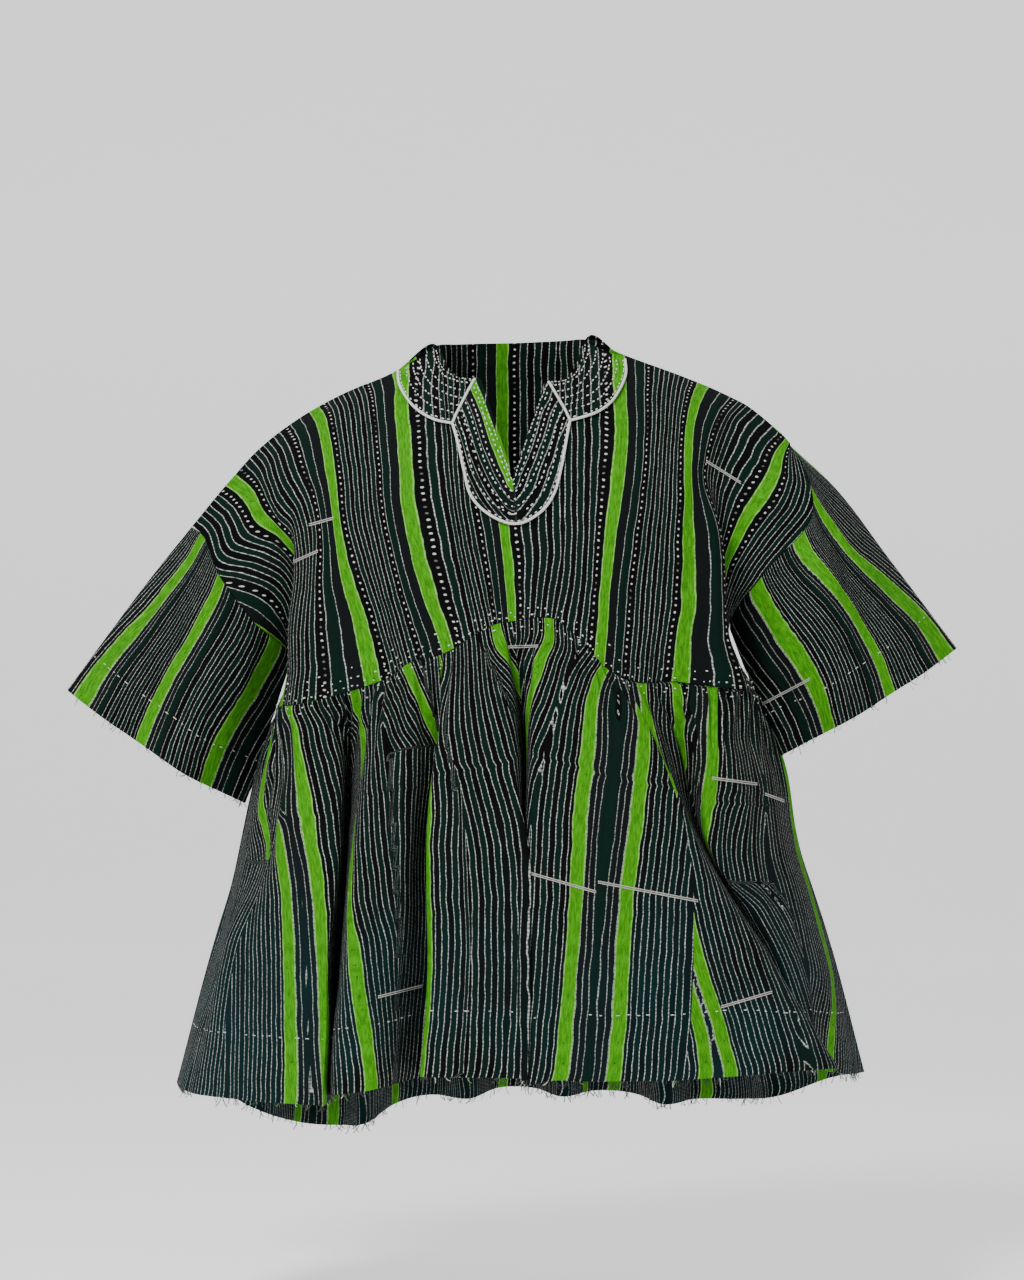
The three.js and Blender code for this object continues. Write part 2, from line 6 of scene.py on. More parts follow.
import bpy
import numpy as np
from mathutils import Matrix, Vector


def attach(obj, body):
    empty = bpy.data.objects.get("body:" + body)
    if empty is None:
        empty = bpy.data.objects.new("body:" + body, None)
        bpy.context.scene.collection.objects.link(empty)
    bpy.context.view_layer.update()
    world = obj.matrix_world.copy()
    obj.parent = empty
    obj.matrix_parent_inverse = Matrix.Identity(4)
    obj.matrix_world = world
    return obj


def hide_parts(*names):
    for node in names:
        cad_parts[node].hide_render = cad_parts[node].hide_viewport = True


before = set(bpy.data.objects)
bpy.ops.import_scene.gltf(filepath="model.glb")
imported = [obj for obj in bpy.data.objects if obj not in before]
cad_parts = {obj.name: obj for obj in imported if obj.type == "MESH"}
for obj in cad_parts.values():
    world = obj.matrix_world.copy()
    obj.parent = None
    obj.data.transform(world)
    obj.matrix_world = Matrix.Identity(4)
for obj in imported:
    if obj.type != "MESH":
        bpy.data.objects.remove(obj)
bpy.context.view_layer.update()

MM = 0.001
SHELL = 1.6  # the shells' thickness
FACING_SHELL = 1.1
SEAM = 0.3  # the gap at a seam
FACING_LIFT = 1.6  # from the yoke's face to the facing's inner face
FACING = 1.2
GATHER = 3.4  # how far a gather stands out or in
GATHER_DEPTH = 95
NECK_HALF = 79
V_FOOT = (1, -137)
V_HALF = 34
STRIP = 94.0  # from one green band to the next on the yoke
SKIRT_STRIP = 104.0  # and on the skirt and sleeves, where the strips lie flat
FRONT, BACK = -1, 1
OUT = {"front": FRONT, "back": BACK}
RNG = np.random.default_rng(11)

# ---- The camera: level, in front, and what a pixel of the 1024 x 1280 picture is in the middle plane ----
CAMERA_DISTANCE = 4200.0
CAMERA_Z = -304.5
PIXEL = 1.05
MIDDLE_X, MIDDLE_Y = 512, 640
PICTURE_HEIGHT = 1280
SENSOR = 36


def seen(points):
    """Where points in millimetres show in the picture, in its pixels."""
    scale = PIXEL * (1 + points[..., 1] / CAMERA_DISTANCE)
    return np.stack([MIDDLE_X + points[..., 0] / scale, MIDDLE_Y - (points[..., 2] - CAMERA_Z) / scale], -1)


def table(columns, text):
    """A dict for each row of a text of numbers. A row ends at a line's end or a semicolon."""
    rows = [row.split() for row in text.replace("\n", ";").split(";") if row.strip()]
    return [dict(zip(columns.split(), map(float, row))) for row in rows]


# ---- The garment's tables, as in the CAD ----
SHOULDER = table("x z", """
    -336 -185; -301 -143; -272 -110; -237 -81; -201 -58; -148 -33; -122 -22; -79 5; 77 11; 92 3; 120 -6; 153 -18
    190 -32; 240 -55; 267 -72; 293 -101""")
NECK_FRONT = table("x y z", """
    -79 0 5; -70 -28 -16; -57 -50 -31; -35 -71 -34; 0 -80 -36; 34 -71 -37; 57 -50 -33; 69 -28 -13; 77 0 11""")
NECK_BACK = table("x y z", """
    -79 0 5; -58 42 9; -34 58 11; 0 64 12; 34 58 13; 57 42 13; 77 0 11""")
STATIONS = (0.27, 0.52, 0.73)
ROLL_OUT, ROLL_LIFT, ROLL_FULL = 0.42, 0.22, 190
ARMPIT_STRAND = 4
THREADS = "cloth top x1 y1 x2 y2 x3 y3 x y z"
YOKE_FRONT = table(THREADS, """
    -355 -336 -304 -44 -269 -48 -232 0 -234 0 -376
    -295 -293 -247 -50 -226 -36 -225 -27 -238 -45 -375
    -272 -272 -240 -62 -219 -38 -217 -32 -237 -64 -374
    -250 -254 -225 -72 -226 -73 -231 -79 -230 -84 -372
    -228 -231 -207 -82 -205 -95 -211 -99 -211 -98 -369
    -200 -206 -186 -84 -176 -107 -161 -112 -142 -113 -349
    -152 -164 -148 -84 -139 -114 -126 -121 -104 -121 -327
    -105 -120 -108 -84 -103 -115 -90 -126 -63 -127 -315
    -79 -79 -72 -82 -67 -113 -57 -128 -38 -129 -299
    -68 -70 -63 -90 -58 -116 -49 -129 -31 -129 -295
    -57 -57 -53 -97 -49 -119 -41 -129 -24 -129 -291
    -35 -35 -33 -103 -30 -121 -24 -130 -14 -129 -287
    0 0 0 -107 0 -124 0 -131 4 -130 -285
    34 34 34 -103 35 -121 35 -130 28 -129 -281
    57 57 57 -97 57 -119 56 -129 46 -129 -284
    69 69 67 -90 67 -116 66 -129 56 -129 -292
    80 77 77 -82 77 -113 75 -128 66 -128 -300
    112 112 113 -82 105 -114 98 -126 90 -126 -328
    155 158 149 -83 141 -112 134 -120 126 -121 -347
    200 201 181 -80 180 -103 178 -109 168 -110 -347
    232 232 203 -72 218 -80 221 -84 227 -81 -356
    256 250 218 -54 211 -44 212 -36 236 -62 -358
    285 282 253 -52 221 -40 217 -28 240 -40 -360
    345 293 312 -42 260 -46 228 0 238 0 -362""")
YOKE_BACK = table(THREADS, """
    -355 -336 -304 44 -269 48 -232 0 -234 0 -376
    -295 -293 -250 52 -232 40 -228 34 -236 44 -372
    -262 -262 -228 60 -216 46 -220 48 -230 66 -366
    -228 -231 -210 72 -206 82 -208 85 -208 86 -352
    -176 -180 -166 72 -158 97 -152 102 -146 102 -332
    -120 -122 -116 66 -110 98 -106 110 -98 110 -312
    -79 -79 -77 66 -73 98 -68 113 -62 113 -300
    -58 -58 -56 75 -53 101 -49 114 -44 114 -296
    -35 -34 -33 82 -31 104 -29 115 -27 115 -292
    0 0 0 86 1 107 2 116 3 116 -290
    34 34 34 82 34 104 34 115 33 115 -292
    57 57 56 75 55 101 53 114 51 114 -296
    80 77 77 66 75 98 71 113 68 113 -300
    120 120 118 66 112 98 106 110 102 110 -312
    176 180 168 72 160 97 152 102 148 102 -330
    228 226 206 72 205 82 206 85 212 86 -346
    256 250 222 56 214 44 216 46 233 66 -352
    285 278 254 50 226 38 220 32 239 44 -358
    345 293 312 42 260 46 228 0 238 0 -362""")
HEIGHTS = (-400, -500, -620)
FOLDS = "cloth x1 y1 x2 y2 x3 y3 x y z"
SKIRT_FRONT = table(FOLDS, """
    -355 -247 0 -275 2 -313 6 -353 10 -770
    -300 -238 -50 -260 -58 -298 -64 -335 -74 -770
    -262 -229 -84 -231 -104 -281 -108 -299 -128 -770
    -245 -221 -98 -224 -130 -230 -156 -240 -184 -769
    -236 -214 -108 -202 -146 -194 -180 -196 -206 -769
    -226 -186 -112 -177 -150 -184 -184 -188 -214 -769
    -210 -166 -86 -170 -96 -176 -116 -182 -140 -766
    -196 -143 -136 -159 -162 -170 -186 -182 -198 -760
    -162 -112 -144 -117 -172 -130 -200 -142 -228 -752
    -118 -70 -126 -80 -136 -78 -156 -86 -176 -742
    -106 -75 -150 -86 -174 -83 -204 -90 -230 -738
    -86 -36 -154 -10 -180 -4 -212 -8 -240 -738
    -42 3 -148 9 -174 7 -206 6 -234 -742
    -6 12 -106 13 -112 12 -130 10 -160 -742
    34 22 -150 16 -176 14 -207 13 -236 -745
    86 78 -152 70 -180 61 -210 48 -242 -740
    126 134 -150 123 -174 110 -204 102 -234 -742
    138 142 -144 176 -158 182 -194 172 -222 -742
    150 145 -136 182 -150 240 -170 299 -170 -738
    180 170 -104 191 -102 252 -98 303 -90 -740
    212 194 -134 197 -136 267 -120 310 -108 -742
    262 232 -84 256 -86 304 -78 342 -68 -752
    345 260 0 294 2 334 6 371 10 -759""")
SKIRT_BACK = table(FOLDS, """
    -355 -247 0 -275 2 -313 6 -353 10 -770
    -290 -242 64 -262 76 -290 90 -318 106 -786
    -262 -224 70 -236 62 -252 56 -268 60 -806
    -238 -206 102 -212 122 -222 142 -236 166 -830
    -204 -178 112 -178 134 -182 158 -184 186 -836
    -178 -152 98 -152 96 -156 102 -160 112 -826
    -150 -128 124 -128 148 -130 176 -132 206 -816
    -104 -86 128 -86 152 -84 180 -82 214 -806
    -78 -60 110 -58 112 -54 122 -48 138 -802
    -50 -36 134 -32 158 -26 188 -18 222 -800
    -8 4 134 10 160 18 190 28 222 -800
    20 30 114 36 118 44 128 56 144 -800
    48 54 132 62 156 72 184 86 216 -802
    96 98 126 108 148 120 176 138 204 -804
    124 120 106 132 104 148 112 166 122 -806
    152 146 118 158 140 176 162 196 186 -808
    204 186 106 202 124 226 142 252 156 -804
    236 212 78 228 70 252 66 278 66 -792
    284 248 62 272 74 304 86 336 96 -776
    345 260 0 294 2 334 6 371 10 -759""")
SLEEVE_FOLD = "seam cuff width depth"
SLEEVES = {
    "sleeve_right": dict(edge=-1, outer=[(-380, -240), (-428, -304)], middle=22, opening=56,
        cuff=[(-467, -357), (-380, -416), (-324, -453), (-279, -476)], folds=table(SLEEVE_FOLD, """
        0.3 0.22 0.1 6; 0.52 0.42 0.12 -12; 0.74 0.66 0.1 9; 0.95 0.86 0.09 -8""")),
    "sleeve_left": dict(edge=1, outer=[(336, -141), (396, -219)], middle=24, opening=54,
        cuff=[(467, -313), (384, -367), (326, -401), (280, -427)], folds=table(SLEEVE_FOLD, """
        0.28 0.2 0.1 7; 0.46 0.4 0.11 -11; 0.7 0.62 0.1 10; 0.93 0.84 0.09 -9""")),
}
SLEEVE_GAP = 2.4 * SEAM
PAIR = "x z outer_x outer_z"
COLLAR_RIGHT = table(PAIR, """
    -77 1 -119 -24; -75 -10 -117 -40; -71 -20 -107 -58; -64 -28 -94 -71; -51 -33 -78 -80; -36.6 -36 -61.6 -84""")
COLLAR_LEFT = table(PAIR, """
    35.6 -39 60.2 -81; 50 -36 77 -76; 63 -30 93 -68; 70 -18 107 -54; 74 -5 118 -32; 75 6 118 -13""")
COLLAR_BACK = table(PAIR, """
    -75 -2 -114 -32; -69 5 -99 -36; -57 8 -78 -34; -34 10 -45 -33; 0 11 0 -32; 34 12 45 -31; 57 12 78 -31
    69 11 101 -30; 76 4 118 -17""")
PLACKET = table(PAIR, """
    -36 -37 -61 -84.6; -28 -60 -54 -108; -20 -84 -49 -132; -13 -104 -42 -158; -6 -124 -24 -177; 1 -142 3 -187
    7 -124 28 -176; 14 -102 43 -156; 21 -80 50 -130; 28 -58 54 -108; 35 -40 59.6 -81.6""")


# ---- Smooth curves, strands and sheets ----
def through(knots, values, t):
    """Values at t of a cubic through values at the knots: three-point slopes inside, straight ends."""
    knots, values = np.asarray(knots, float), np.asarray(values, float)
    t = np.atleast_1d(np.asarray(t, float))
    spans = np.diff(knots).reshape(-1, *[1] * (values.ndim - 1))
    rise = np.diff(values, axis=0) / spans
    slopes = np.concatenate([rise[:1], (rise[:-1] * spans[1:] + rise[1:] * spans[:-1]) / (spans[:-1] + spans[1:]),
                             rise[-1:]])
    i = np.clip(np.searchsorted(knots, t, side="left") - 1, 0, len(knots) - 2)
    span = spans[i]
    s = ((t - knots[i]) / (knots[i + 1] - knots[i])).reshape(span.shape)
    return (values[i] * (1 + 2 * s) * (1 - s) ** 2 + values[i + 1] * s * s * (3 - 2 * s)
            + slopes[i] * s * (1 - s) ** 2 * span + slopes[i + 1] * s * s * (s - 1) * span)


def smoothstep(x, low, high):
    t = np.clip((np.asarray(x, float) - low) / (high - low), 0, 1)
    return t * t * (3 - 2 * t)


def steps_of(points, axis=0):
    """The lengths from each point of a grid to the next."""
    return np.linalg.norm(np.diff(points, axis=axis), axis=-1)


def summed(steps, axis=0):
    """Running sums along an axis, from 0."""
    return np.insert(np.cumsum(steps, axis), 0, 0, axis)


def unit(vectors, spare=0.0):
    return vectors / (np.linalg.norm(vectors, axis=-1, keepdims=True) + spare)


def level(vectors):
    """Directions turned level, into the plane of x and z."""
    return unit(vectors * [1, 0, 1])


def from_ends(count):
    """How many steps each of a row of points is from the row's nearer end."""
    return np.minimum(np.arange(count), np.arange(count)[::-1])


class Strand:
    """A curve through points, from 0 at its first to 1 at its last."""
    def __init__(self, points):
        self.points = np.asarray(points, float)
        steps = steps_of(self.points)
        self.shares = summed(steps) / steps.sum()

    def at(self, v):
        return through(self.shares, self.points, v)


class Sheet:
    """A surface through strands that lie side by side at given places."""
    def __init__(self, places, strands):
        self.places, self.strands = np.asarray(places, float), strands

    def column(self, u, v):
        """The points at the place u and the shares v."""
        return through(self.places, np.stack([s.at(v) for s in self.strands]), u)[0]

    def spread(self, count, levels=(0, 0.3, 0.6, 1)):
        """Places across the sheet, about count of them, as close in every interval."""
        lines = np.stack([s.at(levels) for s in self.strands])
        widths = steps_of(lines).max(1)
        parts = np.maximum(3, np.round(widths / widths.sum() * count)).astype(int)
        places = [np.linspace(a, b, n, endpoint=False)
                  for a, b, n in zip(self.places[:-1], self.places[1:], parts)]
        return np.append(np.concatenate(places), self.places[-1])


def centred(grid):
    """Differences along the second axis, one-sided at its ends."""
    return np.concatenate([grid[:, 1:2] - grid[:, :1], grid[:, 2:] - grid[:, :-2], grid[:, -1:] - grid[:, -2:-1]], 1)


def cross_directions(grid, out, wraps=False):
    """The outward directions of grid[column, row]."""
    if wraps:
        across = np.roll(grid, -1, 0) - np.roll(grid, 1, 0)
    else:
        across = centred(grid.swapaxes(0, 1)).swapaxes(0, 1)
    return out * unit(np.cross(across, centred(grid)))


HELD = 0.02  # points that move less than this share keep their directions


# ---- A shell: a grid of points with its directions, its places across and its chart ----
class Shell:
    def __init__(self, name, grid, normals, out, thickness, places, wraps=False):
        self.name, self.grid, self.normals, self.out = name, grid, normals, out
        self.thickness, self.places, self.wraps = thickness, np.asarray(places, float), wraps
        self.refresh()

    def refresh(self):
        self.seen, self.plan = seen(self.grid), self.grid[..., [0, 2]]
        self.down = summed(steps_of(self.grid, 1), 1)
        middle = self.grid.shape[1] * 6 // 10
        shift = 0 if self.wraps else -self.grid[:, middle, 2] - self.down[:, middle]
        self.thread = self.down + np.reshape(shift, (-1, 1))  # down the cloth, level across it at its middle

    def at(self, i, j, lift=0.0, field=None):
        """The point at a place between columns and rows, moved out by lift, or another field's value there."""
        columns, rows = self.grid.shape[:2]
        i = np.clip(np.asarray(i, float), 0, columns - 1.001)
        j = np.clip(np.asarray(j, float), 0, rows - 1.001)
        a, b = i.astype(int), j.astype(int)
        values = self.grid + lift * self.normals if field is None else field
        fi, fj = i - a, j - b
        if values.ndim > 2:
            fi, fj = fi[..., None], fj[..., None]
        return ((values[a, b] * (1 - fi) + values[a + 1, b] * fi) * (1 - fj)
                + (values[a, b + 1] * (1 - fi) + values[a + 1, b + 1] * fi) * fj)

    def locate(self, target, view="seen", guess=None):
        """The column and row where a pixel (seen) or an x and z (plan) falls, on the layer nearest the eye."""
        flat = getattr(self, view)
        if guess is None:
            gap = np.linalg.norm(flat - np.asarray(target, float), axis=2)
            eye = 1 if self.name.endswith("back") else -1
            depth = np.where(gap < max(gap.min() * 1.5, 2.0), self.grid[..., 1] * -eye, np.inf)
            guess = np.unravel_index(np.argmin(depth), depth.shape)
        i, j = (float(k) for k in guess)
        for _ in range(6):
            h = 0.25
            di = (self.at(i + h, j, field=flat) - self.at(i - h, j, field=flat)) / (2 * h)
            dj = (self.at(i, j + h, field=flat) - self.at(i, j - h, field=flat)) / (2 * h)
            det = di[0] * dj[1] - di[1] * dj[0]
            if abs(det) < 1e-6:
                break
            miss = np.asarray(target, float) - self.at(i, j, field=flat)
            i += float(np.clip((miss[0] * dj[1] - miss[1] * dj[0]) / det, -1.5, 1.5))
            j += float(np.clip((di[0] * miss[1] - di[1] * miss[0]) / det, -1.5, 1.5))
            i = min(max(i, 0), self.grid.shape[0] - 1)
            j = min(max(j, 0), self.grid.shape[1] - 1)
        return i, j

    def push(self, amount):
        """Moves the points out by an amount each, less near seams, and works the directions out again."""
        self.grid = self.grid + self.normals * (amount * self.fade)[..., None]
        fresh = cross_directions(self.grid, self.out, self.wraps)
        self.normals = np.where(self.fade[..., None] < HELD, self.normals, fresh)
        self.refresh()


def value_noise(shape, cells, rng):
    """Smooth seeded noise from -1 to 1 over a grid."""
    coarse = rng.uniform(-1, 1, (cells[0] + 2, cells[1] + 2))
    x = np.linspace(0, cells[0], shape[0])
    y = np.linspace(0, cells[1], shape[1])
    a, b = x.astype(int), y.astype(int)
    fx = smoothstep(x - a, 0, 1)[:, None]
    fy = smoothstep(y - b, 0, 1)[None]
    rows = coarse[a] * (1 - fx) + coarse[a + 1] * fx
    return rows[:, b] * (1 - fy) + rows[:, b + 1] * fy


# ---- The yokes ----
def point(row):
    return np.array([row["x"], row["y"], row["z"]])


def height_at(line, x):
    return through([p["x"] for p in line], [[p["z"]] for p in line], x)[0, 0]


def yoke_sheet(rows, neck):
    strands = []
    for row in rows:
        edge = next((p for p in neck if p["x"] == row["top"]), None)
        top = point(edge) if edge else np.array([row["top"], 0, height_at(SHOULDER, row["top"])])
        seam = point(row)
        middle = [np.array([row[f"x{k + 1}"], row[f"y{k + 1}"], top[2] + STATIONS[k] * (seam[2] - top[2])])
                  for k in range(3)]
        over = top + (middle[0] - top) * ROLL_OUT
        over[2] += smoothstep(abs(top[0]), NECK_HALF - 10, ROLL_FULL) * ROLL_LIFT * (top[2] - middle[0][2])
        strands.append(Strand([top, over, *middle, seam]))
    return Sheet([row["cloth"] for row in rows], strands)


YOKE_SHEETS = {"front": yoke_sheet(YOKE_FRONT, NECK_FRONT), "back": yoke_sheet(YOKE_BACK, NECK_BACK)}
WAYS = np.array([0, 0.05, 0.1, 0.15, 0.2, 0.26, 0.34, 0.44, 0.56, 0.7, 0.85, 1])  # the CAD rows' way to the armpit
UPPER = 77  # rows from the top to the armpit, and from there to the gathered seam
LOWER = 26
YOKE_COLUMNS = 215


def notch_share(sheet, cloth):
    """How far down a front thread the notch cuts it."""
    if abs(cloth) >= V_HALF:
        return 0.0
    depth = sheet.column(cloth, 0.0)[0, 2] - V_FOOT[1]
    edge = V_FOOT[1] + depth * abs(cloth - V_FOOT[0]) / V_HALF
    shares = np.linspace(0, 1, 400)
    heights = sheet.column(cloth, shares)[:, 2]
    return float(np.interp(-edge, -heights, shares))


def yoke_shell(side):
    sheet = YOKE_SHEETS[side]
    places = sheet.spread(YOKE_COLUMNS)
    if side == "front":
        close = np.concatenate([np.linspace(-V_HALF, V_FOOT[0], 15), np.linspace(V_FOOT[0], V_HALF, 15)[1:]])
        places = np.sort(np.concatenate([places[np.abs(places) > V_HALF], close]))
    first, last = (sheet.strands[k].shares[ARMPIT_STRAND] for k in (0, -1))
    way = np.interp(np.linspace(0, 1, UPPER + 1), np.linspace(0, 1, len(WAYS)), WAYS)
    grid = []
    for u in places:
        armpit = first + (last - first) * (u - places[0]) / (places[-1] - places[0])
        start = notch_share(sheet, u) if side == "front" else 0.0
        rows = np.concatenate([start + (armpit - start) * way,
                               armpit + (1 - armpit) * np.linspace(0, 1, LOWER + 1)[1:]])
        grid.append(sheet.column(u, rows))
    grid = np.stack(grid)
    normals = cross_directions(grid, OUT[side])
    half = OUT[side] * SEAM / 2
    on_shoulder = np.abs(places) >= NECK_HALF
    grid[on_shoulder, 0, 1] = half
    normals[on_shoulder, 0] = level(normals[on_shoulder, 0])
    for i in (0, -1):
        grid[i, UPPER:, 1] = half
        normals[i, UPPER:] = level(normals[i, UPPER:])
    return Shell(f"yoke_{side}", grid, normals, OUT[side], SHELL, places)


yokes = {side: yoke_shell(side) for side in ("front", "back")}

# ---- The skirts ----
SEAM_DROP = 2.6 * SEAM
SKIRT_COLUMNS = 300
SKIRT_SHARES = np.concatenate([np.linspace(0, 0.3, 56, endpoint=False), np.linspace(0.3, 1, 74)])
GATHER_LENGTH, WANDER = 13.0, 0.35  # a gather's length along the seam, and how uneven it is


def uneven(along, count, low, high):
    """Seeded values from low to high at count places, and between them along a seam."""
    return np.interp(along, np.linspace(0, along[-1], count), RNG.uniform(low, high, count))


def gather_share(distance):
    return (0.25 + 0.75 * smoothstep(distance, 0, 16)) * (1 - smoothstep(distance, 20, GATHER_DEPTH))


def along_seam(yoke, places, values):
    i = np.interp(places, yoke.places, np.arange(len(yoke.places)))
    a = np.clip(i.astype(int), 0, len(yoke.places) - 2)
    f = (i - a)[:, None]
    return values[a, -1] * (1 - f) + values[a + 1, -1] * f


def skirt_shell(side):
    rows = SKIRT_FRONT if side == "front" else SKIRT_BACK
    strands = []
    for row in rows:
        seam = YOKE_SHEETS[side].column(row["cloth"], 1.0)[0]
        middle = [(row[f"x{k + 1}"], row[f"y{k + 1}"], z) for k, z in enumerate(HEIGHTS)]
        strands.append(Strand([seam, *middle, point(row)]))
    sheet = Sheet([row["cloth"] for row in rows], strands)
    places = sheet.spread(SKIRT_COLUMNS, (0.3, 0.6, 1))
    grid = np.stack([sheet.column(u, SKIRT_SHARES) for u in places])
    yoke = yokes[side]
    grid[:, 0] = along_seam(yoke, places, yoke.grid)
    grid[:, 0, 2] -= SEAM_DROP
    for i in (0, -1):
        grid[i, 1:, 1] += OUT[side] * SEAM / 2
    normals = cross_directions(grid, OUT[side])
    normals[:, 0] = unit(along_seam(yoke, places, yoke.normals))
    for i in (0, -1):
        normals[i] = level(normals[i])
    shell = Shell(f"skirt_{side}", grid, normals, OUT[side], SHELL, places)
    shell.base = grid
    along = summed(steps_of(grid[:, 0]))
    phase = 2 * math.pi * (along + WANDER * np.cumsum(uneven(along, 45, -1, 1))) / GATHER_LENGTH
    height = uneven(along, 60, 0.55, 1.0)
    reach = uneven(along, 40, 0.7, 1.9)
    gathers = (np.sin(phase) * height)[:, None] * gather_share(shell.down / reach[:, None])
    ends = smoothstep(from_ends(len(places)), 0, 4)[:, None]
    shell.grid = shell.grid + shell.normals * (GATHER * gathers * ends)[..., None]
    fresh = cross_directions(shell.grid, OUT[side])
    for edge in (np.s_[:, 0], 0, -1):
        fresh[edge] = shell.normals[edge]
    shell.normals = fresh
    shell.fade = ends * smoothstep(shell.down, 4, 40)
    shell.refresh()
    return shell


skirts = {side: skirt_shell(side) for side in ("front", "back")}

# ---- The sleeves ----
SLEEVE_ROWS = 84


def sleeve_shell(name, plan):
    edge = plan["edge"]
    k = 0 if edge < 0 else -1
    sides = np.array([FRONT] * (UPPER + 1) + [BACK] * (UPPER - 1))
    rows = np.concatenate([np.arange(UPPER + 1), np.arange(1, UPPER)[::-1]])
    shares = rows / UPPER
    fold = (shares == 0) | (shares == 1)
    body = {OUT[side]: yoke for side, yoke in yokes.items()}
    starts = np.stack([body[s].grid[k, r] for s, r in zip(sides, rows)])
    starts[fold, 1] = 0
    across = [(x, 0, z) for x, z in plan["cuff"]]
    top = Strand([starts[0], *[(x, 0, z) for x, z in plan["outer"]], across[0]])
    q = np.linspace(0, 1, SLEEVE_ROWS)
    top_points, ends = top.at(q), Strand(across).at(shares)
    straight = top_points[0] + (top_points[-1] - top_points[0]) * q[:, None]
    fullness = np.where(fold, 0, np.sin(math.pi * shares))
    ends[:, 1] = sides * plan["opening"] * fullness ** 0.7
    grid = starts[:, None] + (ends - starts)[:, None] * q[None, :, None]
    grid = grid + (top_points - straight)[None] * ((1 - shares) ** 2)[:, None, None]
    grid[..., 1] += (sides * plan["middle"] * fullness)[:, None] * 4 * q * (1 - q)
    for f in plan["folds"]:
        centre = f["seam"] + (f["cuff"] - f["seam"]) * q[None]
        near = np.exp(-(((shares[:, None] - centre) / f["width"]) ** 2))
        grid[..., 1] += (sides * f["depth"] * np.sign(fullness))[:, None] * near * smoothstep(q, 0, 0.5)[None]
    # At the armhole the sleeve and the yoke share their directions, and the sleeve stands off by the gap.
    normals = cross_directions(grid, edge, True)
    shared = normals[:, 0] + np.stack([body[s].normals[k, r] for s, r in zip(sides, rows)])
    shared[fold, 1] = 0
    shared = normals[:, 0] = unit(shared)
    for s, r, n in zip(sides, rows, shared):
        body[s].normals[k, r] = n
    grid[:, 0] -= SLEEVE_GAP * edge * unit(np.cross(np.roll(starts, -1, 0) - np.roll(starts, 1, 0), shared))
    shell = Shell(name, grid, normals, edge, SHELL, np.arange(len(rows)), wraps=True)
    shell.fade = smoothstep(shell.down, 3, 30)
    shell.shares, shell.sides = shares, sides
    return shell


sleeves = {name: sleeve_shell(name, plan) for name, plan in SLEEVES.items()}
for yoke in yokes.values():
    columns, rows = (np.arange(n) for n in yoke.grid.shape[:2])
    ends = smoothstep(from_ends(len(columns)), 0, 7)[:, None]
    yoke.fade = ends * smoothstep(rows, 0, 5) * smoothstep(rows[::-1], 0, 8)

# Under the arms the body's cloth hangs out to the sleeves' lower edges.
UNDERARM = {-1: dict(top=-324, full=-400, low=-476, end=-580, out=8.0),
            1: dict(top=-291, full=-360, low=-427, end=-540, out=13.0)}
for shell in (*yokes.values(), *skirts.values()):
    for edge, plan in UNDERARM.items():
        height = shell.grid[..., 2]
        share = (1 - smoothstep(height, plan["full"], plan["top"])) * smoothstep(height, plan["end"], plan["low"])
        shell.grid[..., 0] += edge * plan["out"] * share * smoothstep(shell.grid[..., 0] * edge, 170, 236)
    shell.refresh()

